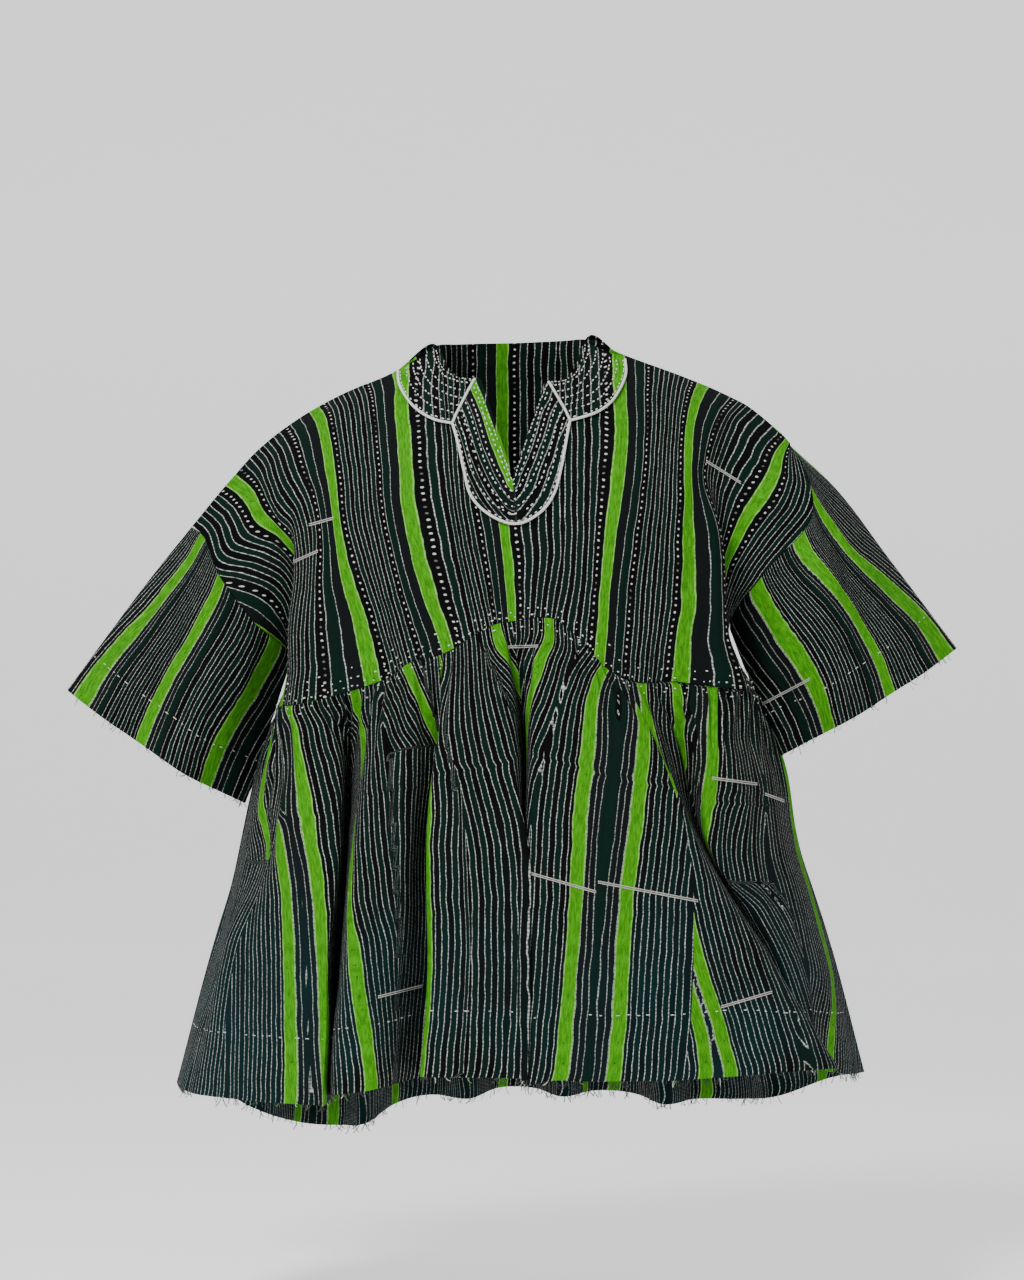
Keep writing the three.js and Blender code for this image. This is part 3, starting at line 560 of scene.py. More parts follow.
# ---- Soft creases: from and to in x and z, with their width and depth (below 0 a trough) ----
CREASE = "x1 z1 x2 z2 width depth"
CREASES = {
    "yoke_front": table(CREASE, """
        -225 -120 -165 -250 14 -3; -205 -105 -150 -205 11 2.6; 214 -95 178 -215 13 -3.2; 196 -85 165 -190 11 2.6
        190 -215 176 -262 8 -4; -120 -150 -100 -270 12 1.8; -60 -200 -45 -290 10 -1.6; 20 -200 24 -290 10 1.8
        120 -120 98 -270 11 2; 148 -120 138 -300 10 -2.2; 66 -190 60 -290 9 -1.6; -165 -230 -140 -335 10 -2.4
        -205 -200 -190 -330 9 2.2; -270 -130 -240 -215 12 -1.8; -300 -170 -258 -250 12 1.5
        262 -100 238 -200 12 -1.8; 286 -125 252 -225 12 1.5; 205 -230 196 -330 9 -2.4; -130 -60 -160 -120 10 -1.6
        130 -45 150 -110 10 -1.6"""),
    "yoke_back": table(CREASE, """
        -215 -110 -160 -250 14 -3; -190 -95 -140 -210 11 2.4; 205 -95 160 -230 13 -3; 182 -85 140 -200 11 2.4
        -60 -90 -50 -280 12 2; 20 -120 16 -280 11 -2; 84 -110 76 -290 12 2.2; -110 -140 -96 -300 10 -2.2
        128 -150 120 -310 10 -2; -200 -220 -190 -340 9 2.2; 196 -220 190 -335 9 2; -265 -130 -240 -230 10 -3.4
        258 -110 236 -210 10 -3.2; -150 -60 -80 -70 9 -1.6; 80 -66 150 -56 9 -1.6"""),
    "skirt_front": table(CREASE, """
        -228 -430 -262 -640 9 3; -300 -560 -322 -750 10 -2.6; -206 -420 -212 -560 7 -2.4
        -120 -380 -150 -560 9 -3.2; -100 -400 -112 -640 9 2.6; -130 -560 -128 -740 9 -2.2; -52 -380 -50 -560 8 2.4
        -34 -400 -22 -600 8 -2.6; -60 -520 -62 -730 9 -2; -20 -560 -24 -730 8 2; 40 -360 34 -540 8 -2.8
        56 -400 48 -600 9 2.2; 92 -400 84 -560 8 -2.2; 88 -560 70 -730 9 2; 116 -480 130 -680 9 -2.2
        150 -600 190 -735 9 2.4; 212 -640 240 -735 9 -2.4; 205 -400 232 -560 9 -2.6; 226 -420 262 -620 9 2.6
        300 -600 330 -745 10 -2.2; -180 -660 -178 -750 8 2"""),
    "skirt_back": table(CREASE, """
        -236 -420 -268 -640 9 -2.6; -192 -400 -206 -620 9 2.4; -160 -620 -164 -800 9 -2.2
        -110 -380 -112 -560 8 -2.6; -96 -460 -100 -720 9 2.4; -40 -380 -30 -560 8 2.2; -16 -420 0 -700 9 -2.4
        30 -560 36 -780 9 2; 70 -380 84 -600 9 -2.6; 92 -480 110 -760 9 2.4; 150 -420 176 -640 9 -2.4
        190 -460 226 -740 9 2.2; 236 -480 282 -740 9 -2.4; -290 -560 -312 -760 9 2.2"""),
    "sleeve_right": table(CREASE, """
        -316 -186 -420 -330 9 -3; -300 -230 -392 -372 9 2.8; -276 -262 -352 -402 9 -3.4; -262 -290 -310 -430 8 2.6
        -350 -250 -440 -360 8 2.2"""),
    "sleeve_left": table(CREASE, """
        318 -150 420 -300 9 -3; 296 -190 388 -330 9 2.8; 278 -226 356 -366 9 -3.4; 262 -250 312 -396 8 2.6
        350 -210 438 -318 8 2.2"""),
}


def crease_field(shell):
    """How far out each point goes for the shell's creases."""
    total = np.zeros(shell.grid.shape[:2])
    for c in CREASES[shell.name]:
        start, end = np.array([c["x1"], c["z1"]], float), np.array([c["x2"], c["z2"]], float)
        way = end - start
        share = ((shell.plan - start) @ way) / (way @ way)
        off = np.linalg.norm(shell.plan - (start + np.clip(share, 0, 1)[..., None] * way), axis=2)
        bend = smoothstep(share, -0.15, 0.35) * (1 - smoothstep(share, 0.65, 1.15))
        total += c["depth"] * np.exp(-((off / c["width"]) ** 2)) * bend
    return total


SOFTNESS = 0.9  # the low, uneven swell of limp cloth
shells = {shell.name: shell for shell in [*yokes.values(), *skirts.values(), *sleeves.values()]}
for shell in shells.values():
    columns, rows = shell.grid.shape[:2]
    swell = SOFTNESS * value_noise((columns, rows), (12, 7), RNG) + 0.5 * value_noise((columns, rows), (30, 16), RNG)
    if shell.wraps:
        swell *= smoothstep(from_ends(columns), 0, 8)[:, None]
    shell.push(crease_field(shell) + swell)


# ---- The chart: how the strips' stripes lie. A band of green is at each half number of the coordinate;
# towards 0 from it come dots and thin white lines, away from 0 charcoal, dark green and dots ----
def px(text):
    """Pixels of the picture, from a text of their x and y."""
    return np.reshape(text.split(), (-1, 2)).astype(float)


# Green bands that show on the yoke's front, by their number and the pixels of their middles.
YOKE_GREENS = {
    -3.5: px("235 483 262 523 293 567"),
    -2.5: px("314 409 329 463 334 496 336 529 344 571 359 620 373 690"),
    -1.5: px("403 385 401 420 405 470 413 535 419 560 438 620 448 650"),
    -0.5: px("503 526 508 560 510 600"),
    0.5: px("619 355 622 448 618 489 610 539 604 617 601 650"),
    1.5: px("703 385 690 426 688 456 689 506 688 547 688 589 683 636 679 680"),
    2.5: px("787 442 775 473 743 519 728 559"),
}
WING_STRIP = 104.0  # past the last band the stripes turn back, and lie wider
YOKE_TOPS = {-3.5: -295, -2.5: -200, -1.5: -105, -0.5: -12, 0.5: 112, 1.5: 200, 2.5: 285}  # the threads behind


def smoothed(values, width):
    kernel = np.hanning(width + 2)[1:-1]
    return np.convolve(np.pad(values, width // 2, mode="edge"), kernel / kernel.sum(), "valid")


def path_on(shell, pixels):
    """A path's places across the shell, for each of its rows."""
    columns, rows = np.array(sorted((shell.locate(p) for p in pixels), key=lambda place: place[1])).T
    places = np.interp(columns, np.arange(len(shell.places)), shell.places)
    count = shell.grid.shape[1]
    return smoothed(np.interp(np.arange(count), rows, places), 2 * (count // 12) + 1)


def spaced(values, knots, numbers, step):
    """Numbers at values by straight pieces through the knots, and a step of the value for each 1 outside them.
    A step below 0 turns the numbers back there."""
    result = np.interp(values, knots, numbers)
    result = np.where(values < knots[0], numbers[0] - (knots[0] - values) / step, result)
    return np.where(values > knots[-1], numbers[-1] + (values - knots[-1]) / step, result)


def yoke_chart(side):
    yoke = yokes[side]
    rows = yoke.grid.shape[1]
    numbers = sorted(YOKE_TOPS)
    if side == "front":
        lines = np.stack([path_on(yoke, YOKE_GREENS[n]) for n in numbers])
    else:
        lines = np.stack([np.full(rows, float(YOKE_TOPS[n])) for n in numbers])
    yoke.chart = np.stack([spaced(yoke.places, lines[:, j], numbers, -WING_STRIP) for j in range(rows)], 1)
    yoke.spans = (yoke.chart[:-1], yoke.chart[1:])


for side in ("front", "back"):
    yoke_chart(side)

# The skirt's panels: the threads between which each lies, and the green bands that guide its stripes. A guide has
# the pixels of its middle, or its threads from the seam to the hem; the stripes on its left and its right, l for
# thin lines and c for charcoal; and the chart's number there, BASE on a green band.
BASE = 10.5
KINDS = {"l": -1, "c": 1}
SKIRT_PANELS = {
    "front": [
        (-355, -262, [
            (px("290 700 284 725 272 770 268 808 274 838 300 900 330 1000"), "ll", BASE),
            ([-350, -350], "ll", BASE - 0.13), ([-262, -262], "ll", BASE - 0.2)]),
        (-262, -212, [
            (px("150 780 262 806 285 828 287 904 289 972 291 1040 291 1107"), "lc", BASE),
            (px("289 672 294 711 300 728 305 776 313 840 318 880 322 948 324 1000 325 1100"), "cl", BASE)]),
        (-212, -198, [
            (px("354 690 358 710 364 735 370 756 392 800 410 850"), "ll", BASE)]),
        (-198, -118, [
            (px("322 740 333 830 341 880 347 914 352 938 358 989 366 1039 373 1087"), "ll", BASE),
            (px("398 645 405 664 419 695 434 730 456 765 490 830"), "ll", BASE),
            ([-122, -128], "ll", BASE - 0.2)]),
        (-118, -86, [
            ([-122, -118, -107, -106.5, -106.5], "ll", BASE),
            ([-86, -86], "ll", BASE - 0.1335)]),
        (-86, -6, [
            ([-86, -86], "ll", BASE - 0.13),
            (px("494 618 498 640 506 655 528 690"), "ll", BASE)]),
        (-6, 138, [
            (px("549 612 549 640 542 656 532 690 524 740 521 900 519 1080"), "ll", BASE),
            (px("604 668 597 681 591 708 585 769 580 820 577 881 574 938 569 999 561 1073"), "lc", BASE),
            (px("638 685 644 705 645 735 641 769 635 837 628 887 623 955 619 1023 614 1080"), "cl", BASE)]),
        (138, 174, [
            (px("640 800 672 920 690 999 699 1023 706 1074"), "lc", BASE),
            (px("664 800 688 920 698 960 713 1006 723 1040 733 1077"), "cl", BASE)]),
        (174, 199, [
            (px("680 700 680 745 676 783 664 820"), "ll", BASE)]),
        (199, 345, [
            (px("706 681 709 718 709 752 707 779 701 816 700 843 702 900"), "cl", BASE),
            (px("560 700 640 830 735 900 765 960 800 1060"), "ll", BASE - 0.45),
            (px("786 740 803 800 820 880 825 928 833 972 835 1006 830 1073"), "ll", BASE)]),
    ],
    "back": [
        (-355, -262, [([-306, -300], "ll", BASE)]),
        (-262, -191, [([-240, -238], "lc", BASE), ([-220, -212], "cl", BASE)]),
        (-191, -91, [([-152, -148], "ll", BASE)]),
        (-91, 6, [([-64, -42], "ll", BASE)]),
        (6, 110, [([36, 42], "lc", BASE), ([66, 76], "cl", BASE)]),
        (110, 220, [([160, 170], "ll", BASE)]),
        (220, 345, [([262, 284], "ll", BASE)]),
    ],
}
EASED = 0.45  # how much more cloth than its width there is at the gathered seam
TURN = 0.85  # stripes run this far from a band, in strips, and then back
CLEAR = 0.12  # but never closer to it than this
EDGE = 6  # pixels inside a panel's edge from where a guide is clear of the fold there
LEAST_CLEAR = 8  # rows
BEYOND = 3  # a guide's first and last pieces go on for this many times their length


def guide_reach(shell, inside, along, path):
    """How far along each row a guide lies, past the panel's edges too."""
    rows = shell.grid.shape[1]
    if np.ndim(path) == 1:
        places = np.interp(np.linspace(0, 1, rows), np.linspace(0, 1, len(path)), path)
        return np.array([np.interp(place, shell.places, along[:, j]) for j, place in enumerate(places)])
    flat, near = seen(shell.base)[inside], along[inside]
    path = np.concatenate([path[:1] - BEYOND * (path[1] - path[0]), path,
                           path[-1:] + BEYOND * (path[-1] - path[-2])])
    off = np.maximum.accumulate(flat[..., 0] - np.interp(flat[..., 1], path[:, 1], path[:, 0]), 0)
    plain = {edge: near[edge] - off[edge] * PIXEL for edge in (0, -1)}
    rising = np.arange(len(near)) * 1e-6
    reach = np.array([plain[0][j] if off[0, j] > 0 else plain[-1][j] if off[-1, j] < 0
                      else np.interp(0, off[:, j] + rising, near[:, j]) for j in range(rows)])
    # Near an edge and past it, the guide keeps the length of cloth it has at the nearest clear row.
    clear = np.flatnonzero((off[0] < -EDGE) & (off[-1] > EDGE))
    if len(clear) > LEAST_CLEAR:
        for j in np.setdiff1d(np.arange(rows), clear):
            k = clear[np.argmin(np.abs(clear - j))]
            beside = plain[0 if off[0, j] >= -EDGE else -1]
            reach[j] = beside[j] + reach[k] - beside[k]
    return reach


def turned(far, reach):
    """The distance from a band, turning back at the reach and again close to the band."""
    span = reach - CLEAR
    beyond = CLEAR + span - np.abs(span - np.mod(far - CLEAR, 2 * span))
    return np.where(far < CLEAR, far, beyond)


def skirt_chart(side):
    shell = skirts[side]
    columns, rows = shell.grid.shape[:2]
    fullness = 1 + EASED * (1 - smoothstep(shell.down.mean(0), 0, 120))
    steps = steps_of(shell.base) * fullness
    along = summed(steps)
    start, end = np.empty((columns - 1, rows)), np.empty((columns - 1, rows))
    chart = np.empty((columns, rows))
    middles = (shell.places[:-1] + shell.places[1:]) / 2
    for first, last, guides in SKIRT_PANELS[side]:
        nearest = np.full((columns, rows), np.inf)
        coordinate = np.zeros((columns, rows))
        inside = (shell.places >= first) & (shell.places <= last)
        for path, kinds, number in guides:
            off = (along - smoothed(guide_reach(shell, inside, along, path), 9)) / SKIRT_STRIP
            far = np.abs(off)
            left, right = (KINDS[kind] for kind in kinds)
            value = number + np.where(off < 0, left, right) * turned(far, number - BASE + TURN)
            closer = far < nearest
            coordinate[closer], nearest[closer] = value[closer], far[closer]
        spans = (middles >= first) & (middles < last)
        start[spans], end[spans] = coordinate[:-1][spans], coordinate[1:][spans]
        chart[inside] = coordinate[inside]
    shell.chart, shell.spans = chart, (start, end)


for side in ("front", "back"):
    skirt_chart(side)

# The sleeves' green bands: their share of the way from the top fold to the underarm, by the seam and the cuff.
SLEEVE_GREENS = {
    "sleeve_right": [(0.22, 0.09), (0.59, 0.44), (0.9, 0.8)],
    "sleeve_left": [(0.44, 0.066), (0.66, 0.4), (0.84, 0.74)],
}
SLEEVE_DEPTH = 255.0  # along the cloth, from the top fold to the underarm
GREEN_BAND = 15.4  # a green band's width
SLEEVE_BANDS = [1.7, 1.0, 1.0]  # the uppermost lies where the sleeve turns away, and shows as wide as the others


def sleeve_chart(shell):
    rows = shell.grid.shape[1]
    way = smoothstep(np.linspace(0, 1, rows), 0, 0.9)
    lines = np.array([a + (b - a) * way for a, b in SLEEVE_GREENS[shell.name]])
    half = np.array([-1, 1]) * GREEN_BAND / 2
    numbers = (np.array([BASE, BASE + 1, BASE + 2])[:, None] + half / SKIRT_STRIP).ravel()
    widths = np.array(SLEEVE_BANDS)[:, None, None] * (half / SLEEVE_DEPTH)[None, :, None]
    knots = (lines[:, None] + widths).reshape(-1, rows)
    front = np.stack([spaced(shell.shares, knots[:, j], numbers, SKIRT_STRIP / SLEEVE_DEPTH)
                      for j in range(rows)], 1)
    back = 2 * front[0] - front
    chart = np.where((shell.sides == FRONT)[:, None], front, back)
    following = np.roll(chart, -1, 0)
    following[UPPER - 1] = front[UPPER]
    start = chart.copy()
    start[UPPER] = back[UPPER]
    shell.chart, shell.spans = chart, (start, following)


for shell in sleeves.values():
    sleeve_chart(shell)

# ---- The facings, laid on the yokes ----
FACING_ACROSS = 18
PAIR_PARTS = 9


def facing_shell(name, pairs, side, chart=None):
    yoke = yokes[side]
    knots = np.arange(len(pairs))
    steps = np.linspace(0, len(pairs) - 1, (len(pairs) - 1) * PAIR_PARTS + 1)
    inner = through(knots, [[p["x"], p["z"]] for p in pairs], steps)
    outer = through(knots, [[p["outer_x"], p["outer_z"]] for p in pairs], steps)
    shares = np.linspace(0, 1, FACING_ACROSS)
    places = np.empty((len(steps), FACING_ACROSS, 2))
    guess = None
    for i, (a, b) in enumerate(zip(inner, outer)):
        for j, share in enumerate(shares):
            guess = yoke.locate(a + (b - a) * share, "plan", guess)
            places[i, j] = guess
        guess = tuple(places[i, 0])
    columns, rows = places[..., 0], places[..., 1]
    grid = yoke.at(columns, rows, FACING_LIFT + FACING)
    normals = unit(yoke.at(columns, rows, field=yoke.normals))
    coordinate = yoke.at(columns, rows, field=yoke.chart) if chart is None else chart(grid)
    shell = Shell(name, grid, normals, OUT[side], FACING_SHELL, np.arange(len(steps)))
    shell.chart, shell.spans = coordinate, (coordinate[:-1], coordinate[1:])
    shell.fade = np.ones(grid.shape[:2])
    return shell


PLACKET_GREEN = 11.5  # how wide the green along the notch's right-hand edge is


def placket_chart(grid):
    """The placket's right half has a green band along the notch; the left half only lines."""
    width = np.linalg.norm(grid - grid[:, :1], axis=2) / STRIP
    right_half = (np.arange(len(grid)) <= len(grid) // 2)[:, None]
    return np.where(right_half, BASE + 0.004 + width - PLACKET_GREEN / 2 / STRIP, BASE + 0.53 + width * 0.5)


facings = [
    facing_shell("neck_facing_right", COLLAR_RIGHT, "front"),
    facing_shell("neck_facing_left", COLLAR_LEFT, "front"),
    facing_shell("neck_facing_back", COLLAR_BACK, "back"),
    facing_shell("placket_facing", PLACKET, "front", placket_chart),
]
QUILT_ROWS, QUILT_HEIGHT, QUILT_SINK = 6, 0.35, 0.1
for shell in facings:
    rise = np.abs(np.sin(math.pi * QUILT_ROWS * np.linspace(0, 1, FACING_ACROSS)))
    shell.push(QUILT_HEIGHT * rise[None] * np.ones((len(shell.grid), 1)) - QUILT_SINK)
    shells[shell.name] = shell


# ---- Meshes ----
def new_mesh(name, vertices, loops, sizes, uvs=None):
    """A linked object of polygons: the vertices in millimetres, the faces' corners and each face's size."""
    mesh = bpy.data.meshes.new(name)
    mesh.vertices.add(len(vertices))
    mesh.vertices.foreach_set("co", (np.asarray(vertices, np.float32) * MM).ravel())
    mesh.loops.add(len(loops))
    mesh.loops.foreach_set("vertex_index", np.asarray(loops, np.int32))
    mesh.polygons.add(len(sizes))
    mesh.polygons.foreach_set("loop_start", summed(sizes)[:-1].astype(np.int32))
    mesh.polygons.foreach_set("use_smooth", np.full(len(sizes), True))
    if uvs is not None:
        layer = mesh.uv_layers.new(name="Chart")
        layer.data.foreach_set("uv", np.asarray(uvs, np.float32).ravel())
    mesh.update(calc_edges=True)
    mesh.validate()
    piece = bpy.data.objects.new(name, mesh)
    bpy.context.scene.collection.objects.link(piece)
    return piece


UV_LENGTH = 100  # millimetres along the threads for each 1 of the chart's second number
SHARP = math.radians(55)


def shell_piece(shell, name):
    """A closed mesh of the shell's two faces and their rims, with the chart as its UVs."""
    columns, rows = shell.grid.shape[:2]
    total = columns * rows
    inner = shell.grid - shell.normals * shell.thickness
    start, end = shell.spans
    down = shell.thread / UV_LENGTH

    def near(i, j):
        return np.stack([start[i, j], down[i, j]], 1)

    def far(i, j):
        return np.stack([end[i, j], down[(i + 1) % columns, j]], 1)

    spans = np.arange(columns if shell.wraps else columns - 1)
    i, j = (k.ravel() for k in np.meshgrid(spans, np.arange(rows - 1), indexing="ij"))
    k = (i + 1) % columns
    corners = np.stack([i * rows + j, k * rows + j, k * rows + j + 1, i * rows + j + 1], 1)
    uv = np.stack([near(i, j), far(i, j), far(i, j + 1), near(i, j + 1)], 1)
    faces, maps = [corners, corners[:, ::-1] + total], [uv, uv[:, ::-1]]
    after = (spans + 1) % columns
    rims = [(np.stack([spans, after], 1) * rows + row, np.stack([near(spans, row), far(spans, row)], 1), flip)
            for row, flip in ((0, True), (rows - 1, False))]
    if not shell.wraps:
        a = np.arange(rows - 1)
        for column, side, flip in ((0, near(0, np.arange(rows)), False),
                                   (columns - 1, far(columns - 2, np.arange(rows)), True)):
            rims.append((column * rows + np.stack([a, a + 1], 1), np.stack([side[:-1], side[1:]], 1), flip))
    for edge, edge_uv, flip in rims:
        if flip:
            edge, edge_uv = edge[:, ::-1], edge_uv[:, ::-1]
        faces.append(np.concatenate([edge, edge[:, ::-1] + total], 1))
        maps.append(np.concatenate([edge_uv, edge_uv[:, ::-1]], 1))
    faces, maps = np.concatenate(faces), np.concatenate(maps)
    if shell.out < 0:
        faces, maps = faces[:, ::-1], maps[:, ::-1]
    vertices = np.concatenate([shell.grid.reshape(-1, 3), inner.reshape(-1, 3)])
    piece = new_mesh(name, vertices, faces.ravel(), np.full(len(faces), 4), maps.reshape(-1, 2))
    piece.data.set_sharp_from_angle(angle=SHARP)
    return piece


# ---- Materials ----
class Value:
    """A socket of a material's graph. Arithmetic on it adds Math nodes."""
    def __init__(self, graph, socket):
        self.graph, self.socket = graph, socket

    def __add__(self, other):
        return self.graph.math("ADD", self, other)

    def __sub__(self, other):
        return self.graph.math("SUBTRACT", self, other)

    def __rsub__(self, other):
        return self.graph.math("SUBTRACT", other, self)

    def __mul__(self, other):
        return self.graph.math("MULTIPLY", self, other)

    def __truediv__(self, other):
        return self.graph.math("DIVIDE", self, other)

    def __gt__(self, other):
        return self.graph.math("GREATER_THAN", self, other)

    def __lt__(self, other):
        return self.graph.math("LESS_THAN", self, other)

    def __abs__(self):
        return self.graph.math("ABSOLUTE", self)


SHEEN_ROUGHNESS = 0.5


class Graph:
    """Short calls for building a material's nodes."""
    def __init__(self, name, roughness=0.85, sheen=0.0, specular=0.3):
        self.material = bpy.data.materials.new(name)
        self.material.use_nodes = True
        self.tree = self.material.node_tree
        self.shader = self.tree.nodes["Principled BSDF"]
        for key, value in (("Roughness", roughness), ("Specular IOR Level", specular), ("Sheen Weight", sheen),
                           ("Sheen Roughness", SHEEN_ROUGHNESS)):
            self.shader.inputs[key].default_value = value

    def wire(self, value, socket):
        if isinstance(value, Value):
            self.tree.links.new(value.socket, socket)
        else:
            socket.default_value = (*value, 1.0) if isinstance(value, tuple) else value

    def node(self, kind, inputs=(), output=0, **settings):
        """A new node's output, with the inputs wired by their names or numbers."""
        node = self.tree.nodes.new(kind)
        for key, value in settings.items():
            setattr(node, key, value)
        for key, value in dict(inputs).items():
            self.wire(value, node.inputs[key])
        return Value(self, node.outputs[output])

    def math(self, operation, a, b=0.0):
        return self.node("ShaderNodeMath", {0: a, 1: b}, operation=operation)

    def step(self, value, low, high, to_low=0.0, to_high=1.0):
        return self.node("ShaderNodeMapRange", {"Value": value, "From Min": low, "From Max": high,
                         "To Min": to_low, "To Max": to_high}, "Result", interpolation_type="SMOOTHSTEP")

    def mix(self, share, a, b):
        return self.node("ShaderNodeMix", {"Factor": share, 6: a, 7: b}, 2, data_type="RGBA")

    def split(self, vector):
        parts = self.node("ShaderNodeSeparateXYZ", {0: vector}).socket.node.outputs
        return [Value(self, part) for part in parts]

    def noise(self, vector, scale=1.0, detail=2.0):
        return self.node("ShaderNodeTexNoise", {"Vector": vector, "Scale": scale, "Detail": detail}, "Fac")

    def bump(self, height, distance, strength=1.0, normal=None):
        inputs = {"Strength": strength, "Distance": distance, "Height": height}
        return self.node("ShaderNodeBump", inputs if normal is None else {**inputs, "Normal": normal})

    def place(self):
        return self.node("ShaderNodeTexCoord", output="Object")

    def wave(self, value, pitch):
        return self.math("SINE", value * (2 * math.pi / pitch))

    def finish(self, colour, normal=None, roughness=None):
        for value, key in ((colour, "Base Color"), (normal, "Normal"), (roughness, "Roughness")):
            if value is not None:
                self.wire(value, self.shader.inputs[key])
        return self.material


# The chart's stripes, in shares of a strip. Lines: every LINE_STEP down from FIRST_LINE, and two alone.
GREEN_HALF, GREEN_HALF_SKIRT = 0.066, 0.074
FIRST_LINE, LINE_STEP, LINES = 0.3315, 0.0615, 8
LONE_LINES = (0.7915, 0.6815)
DOTS = (0.381, 0.836)
DOT_PITCH = 0.072
BEAD_PITCH = 0.040  # one raised float of a white line to the next
LINE_HALF, LINE_SOFT = 0.0038, 0.0020  # a line's half width and its soft edge
DOT_RADIUS, DOT_SOFT = 0.0085, 0.0055
DRIFT, SHIVER = 0.035, 0.020  # how far the stripes stray
WRAP = 0.868  # a strip's stripes are counted from its join, past this
JOIN = 0.735  # the seam between two strips
CHARCOAL_LINES, JOIN_LINES = (0.56, 0.75), (0.72, 0.80)  # where the skirt's lines are fainter, and none
GREEN_THREAD_PITCH, GREEN_WEFT_PITCH = 0.018, 0.021
RIB_PITCH, PICK_PITCH = 0.0135, 0.0150
BLACK = (0.0022, 0.0024, 0.0025)
DARK_GREEN = (0.0026, 0.0125, 0.0088)
CHARCOAL = (0.0055, 0.0070, 0.0074)
TEAL = (0.0030, 0.0185, 0.0205)
GREEN = (0.078, 0.385, 0.008)
GREEN_DEEP = (0.026, 0.150, 0.006)
GREEN_PALE = (0.27, 0.52, 0.12)
WHITE = (0.56, 0.58, 0.54)
# Where each ground colour starts, from 0: black and dark green alternate between the lines.
GROUNDS = [(0.0, BLACK), (0.024, DARK_GREEN), (0.0855, BLACK), (0.147, DARK_GREEN), (0.2085, BLACK),
           (0.27, DARK_GREEN), (0.3315, BLACK), (0.5, CHARCOAL), (0.6815, DARK_GREEN), (0.7915, BLACK),
           (0.901, DARK_GREEN), (0.9625, BLACK)]


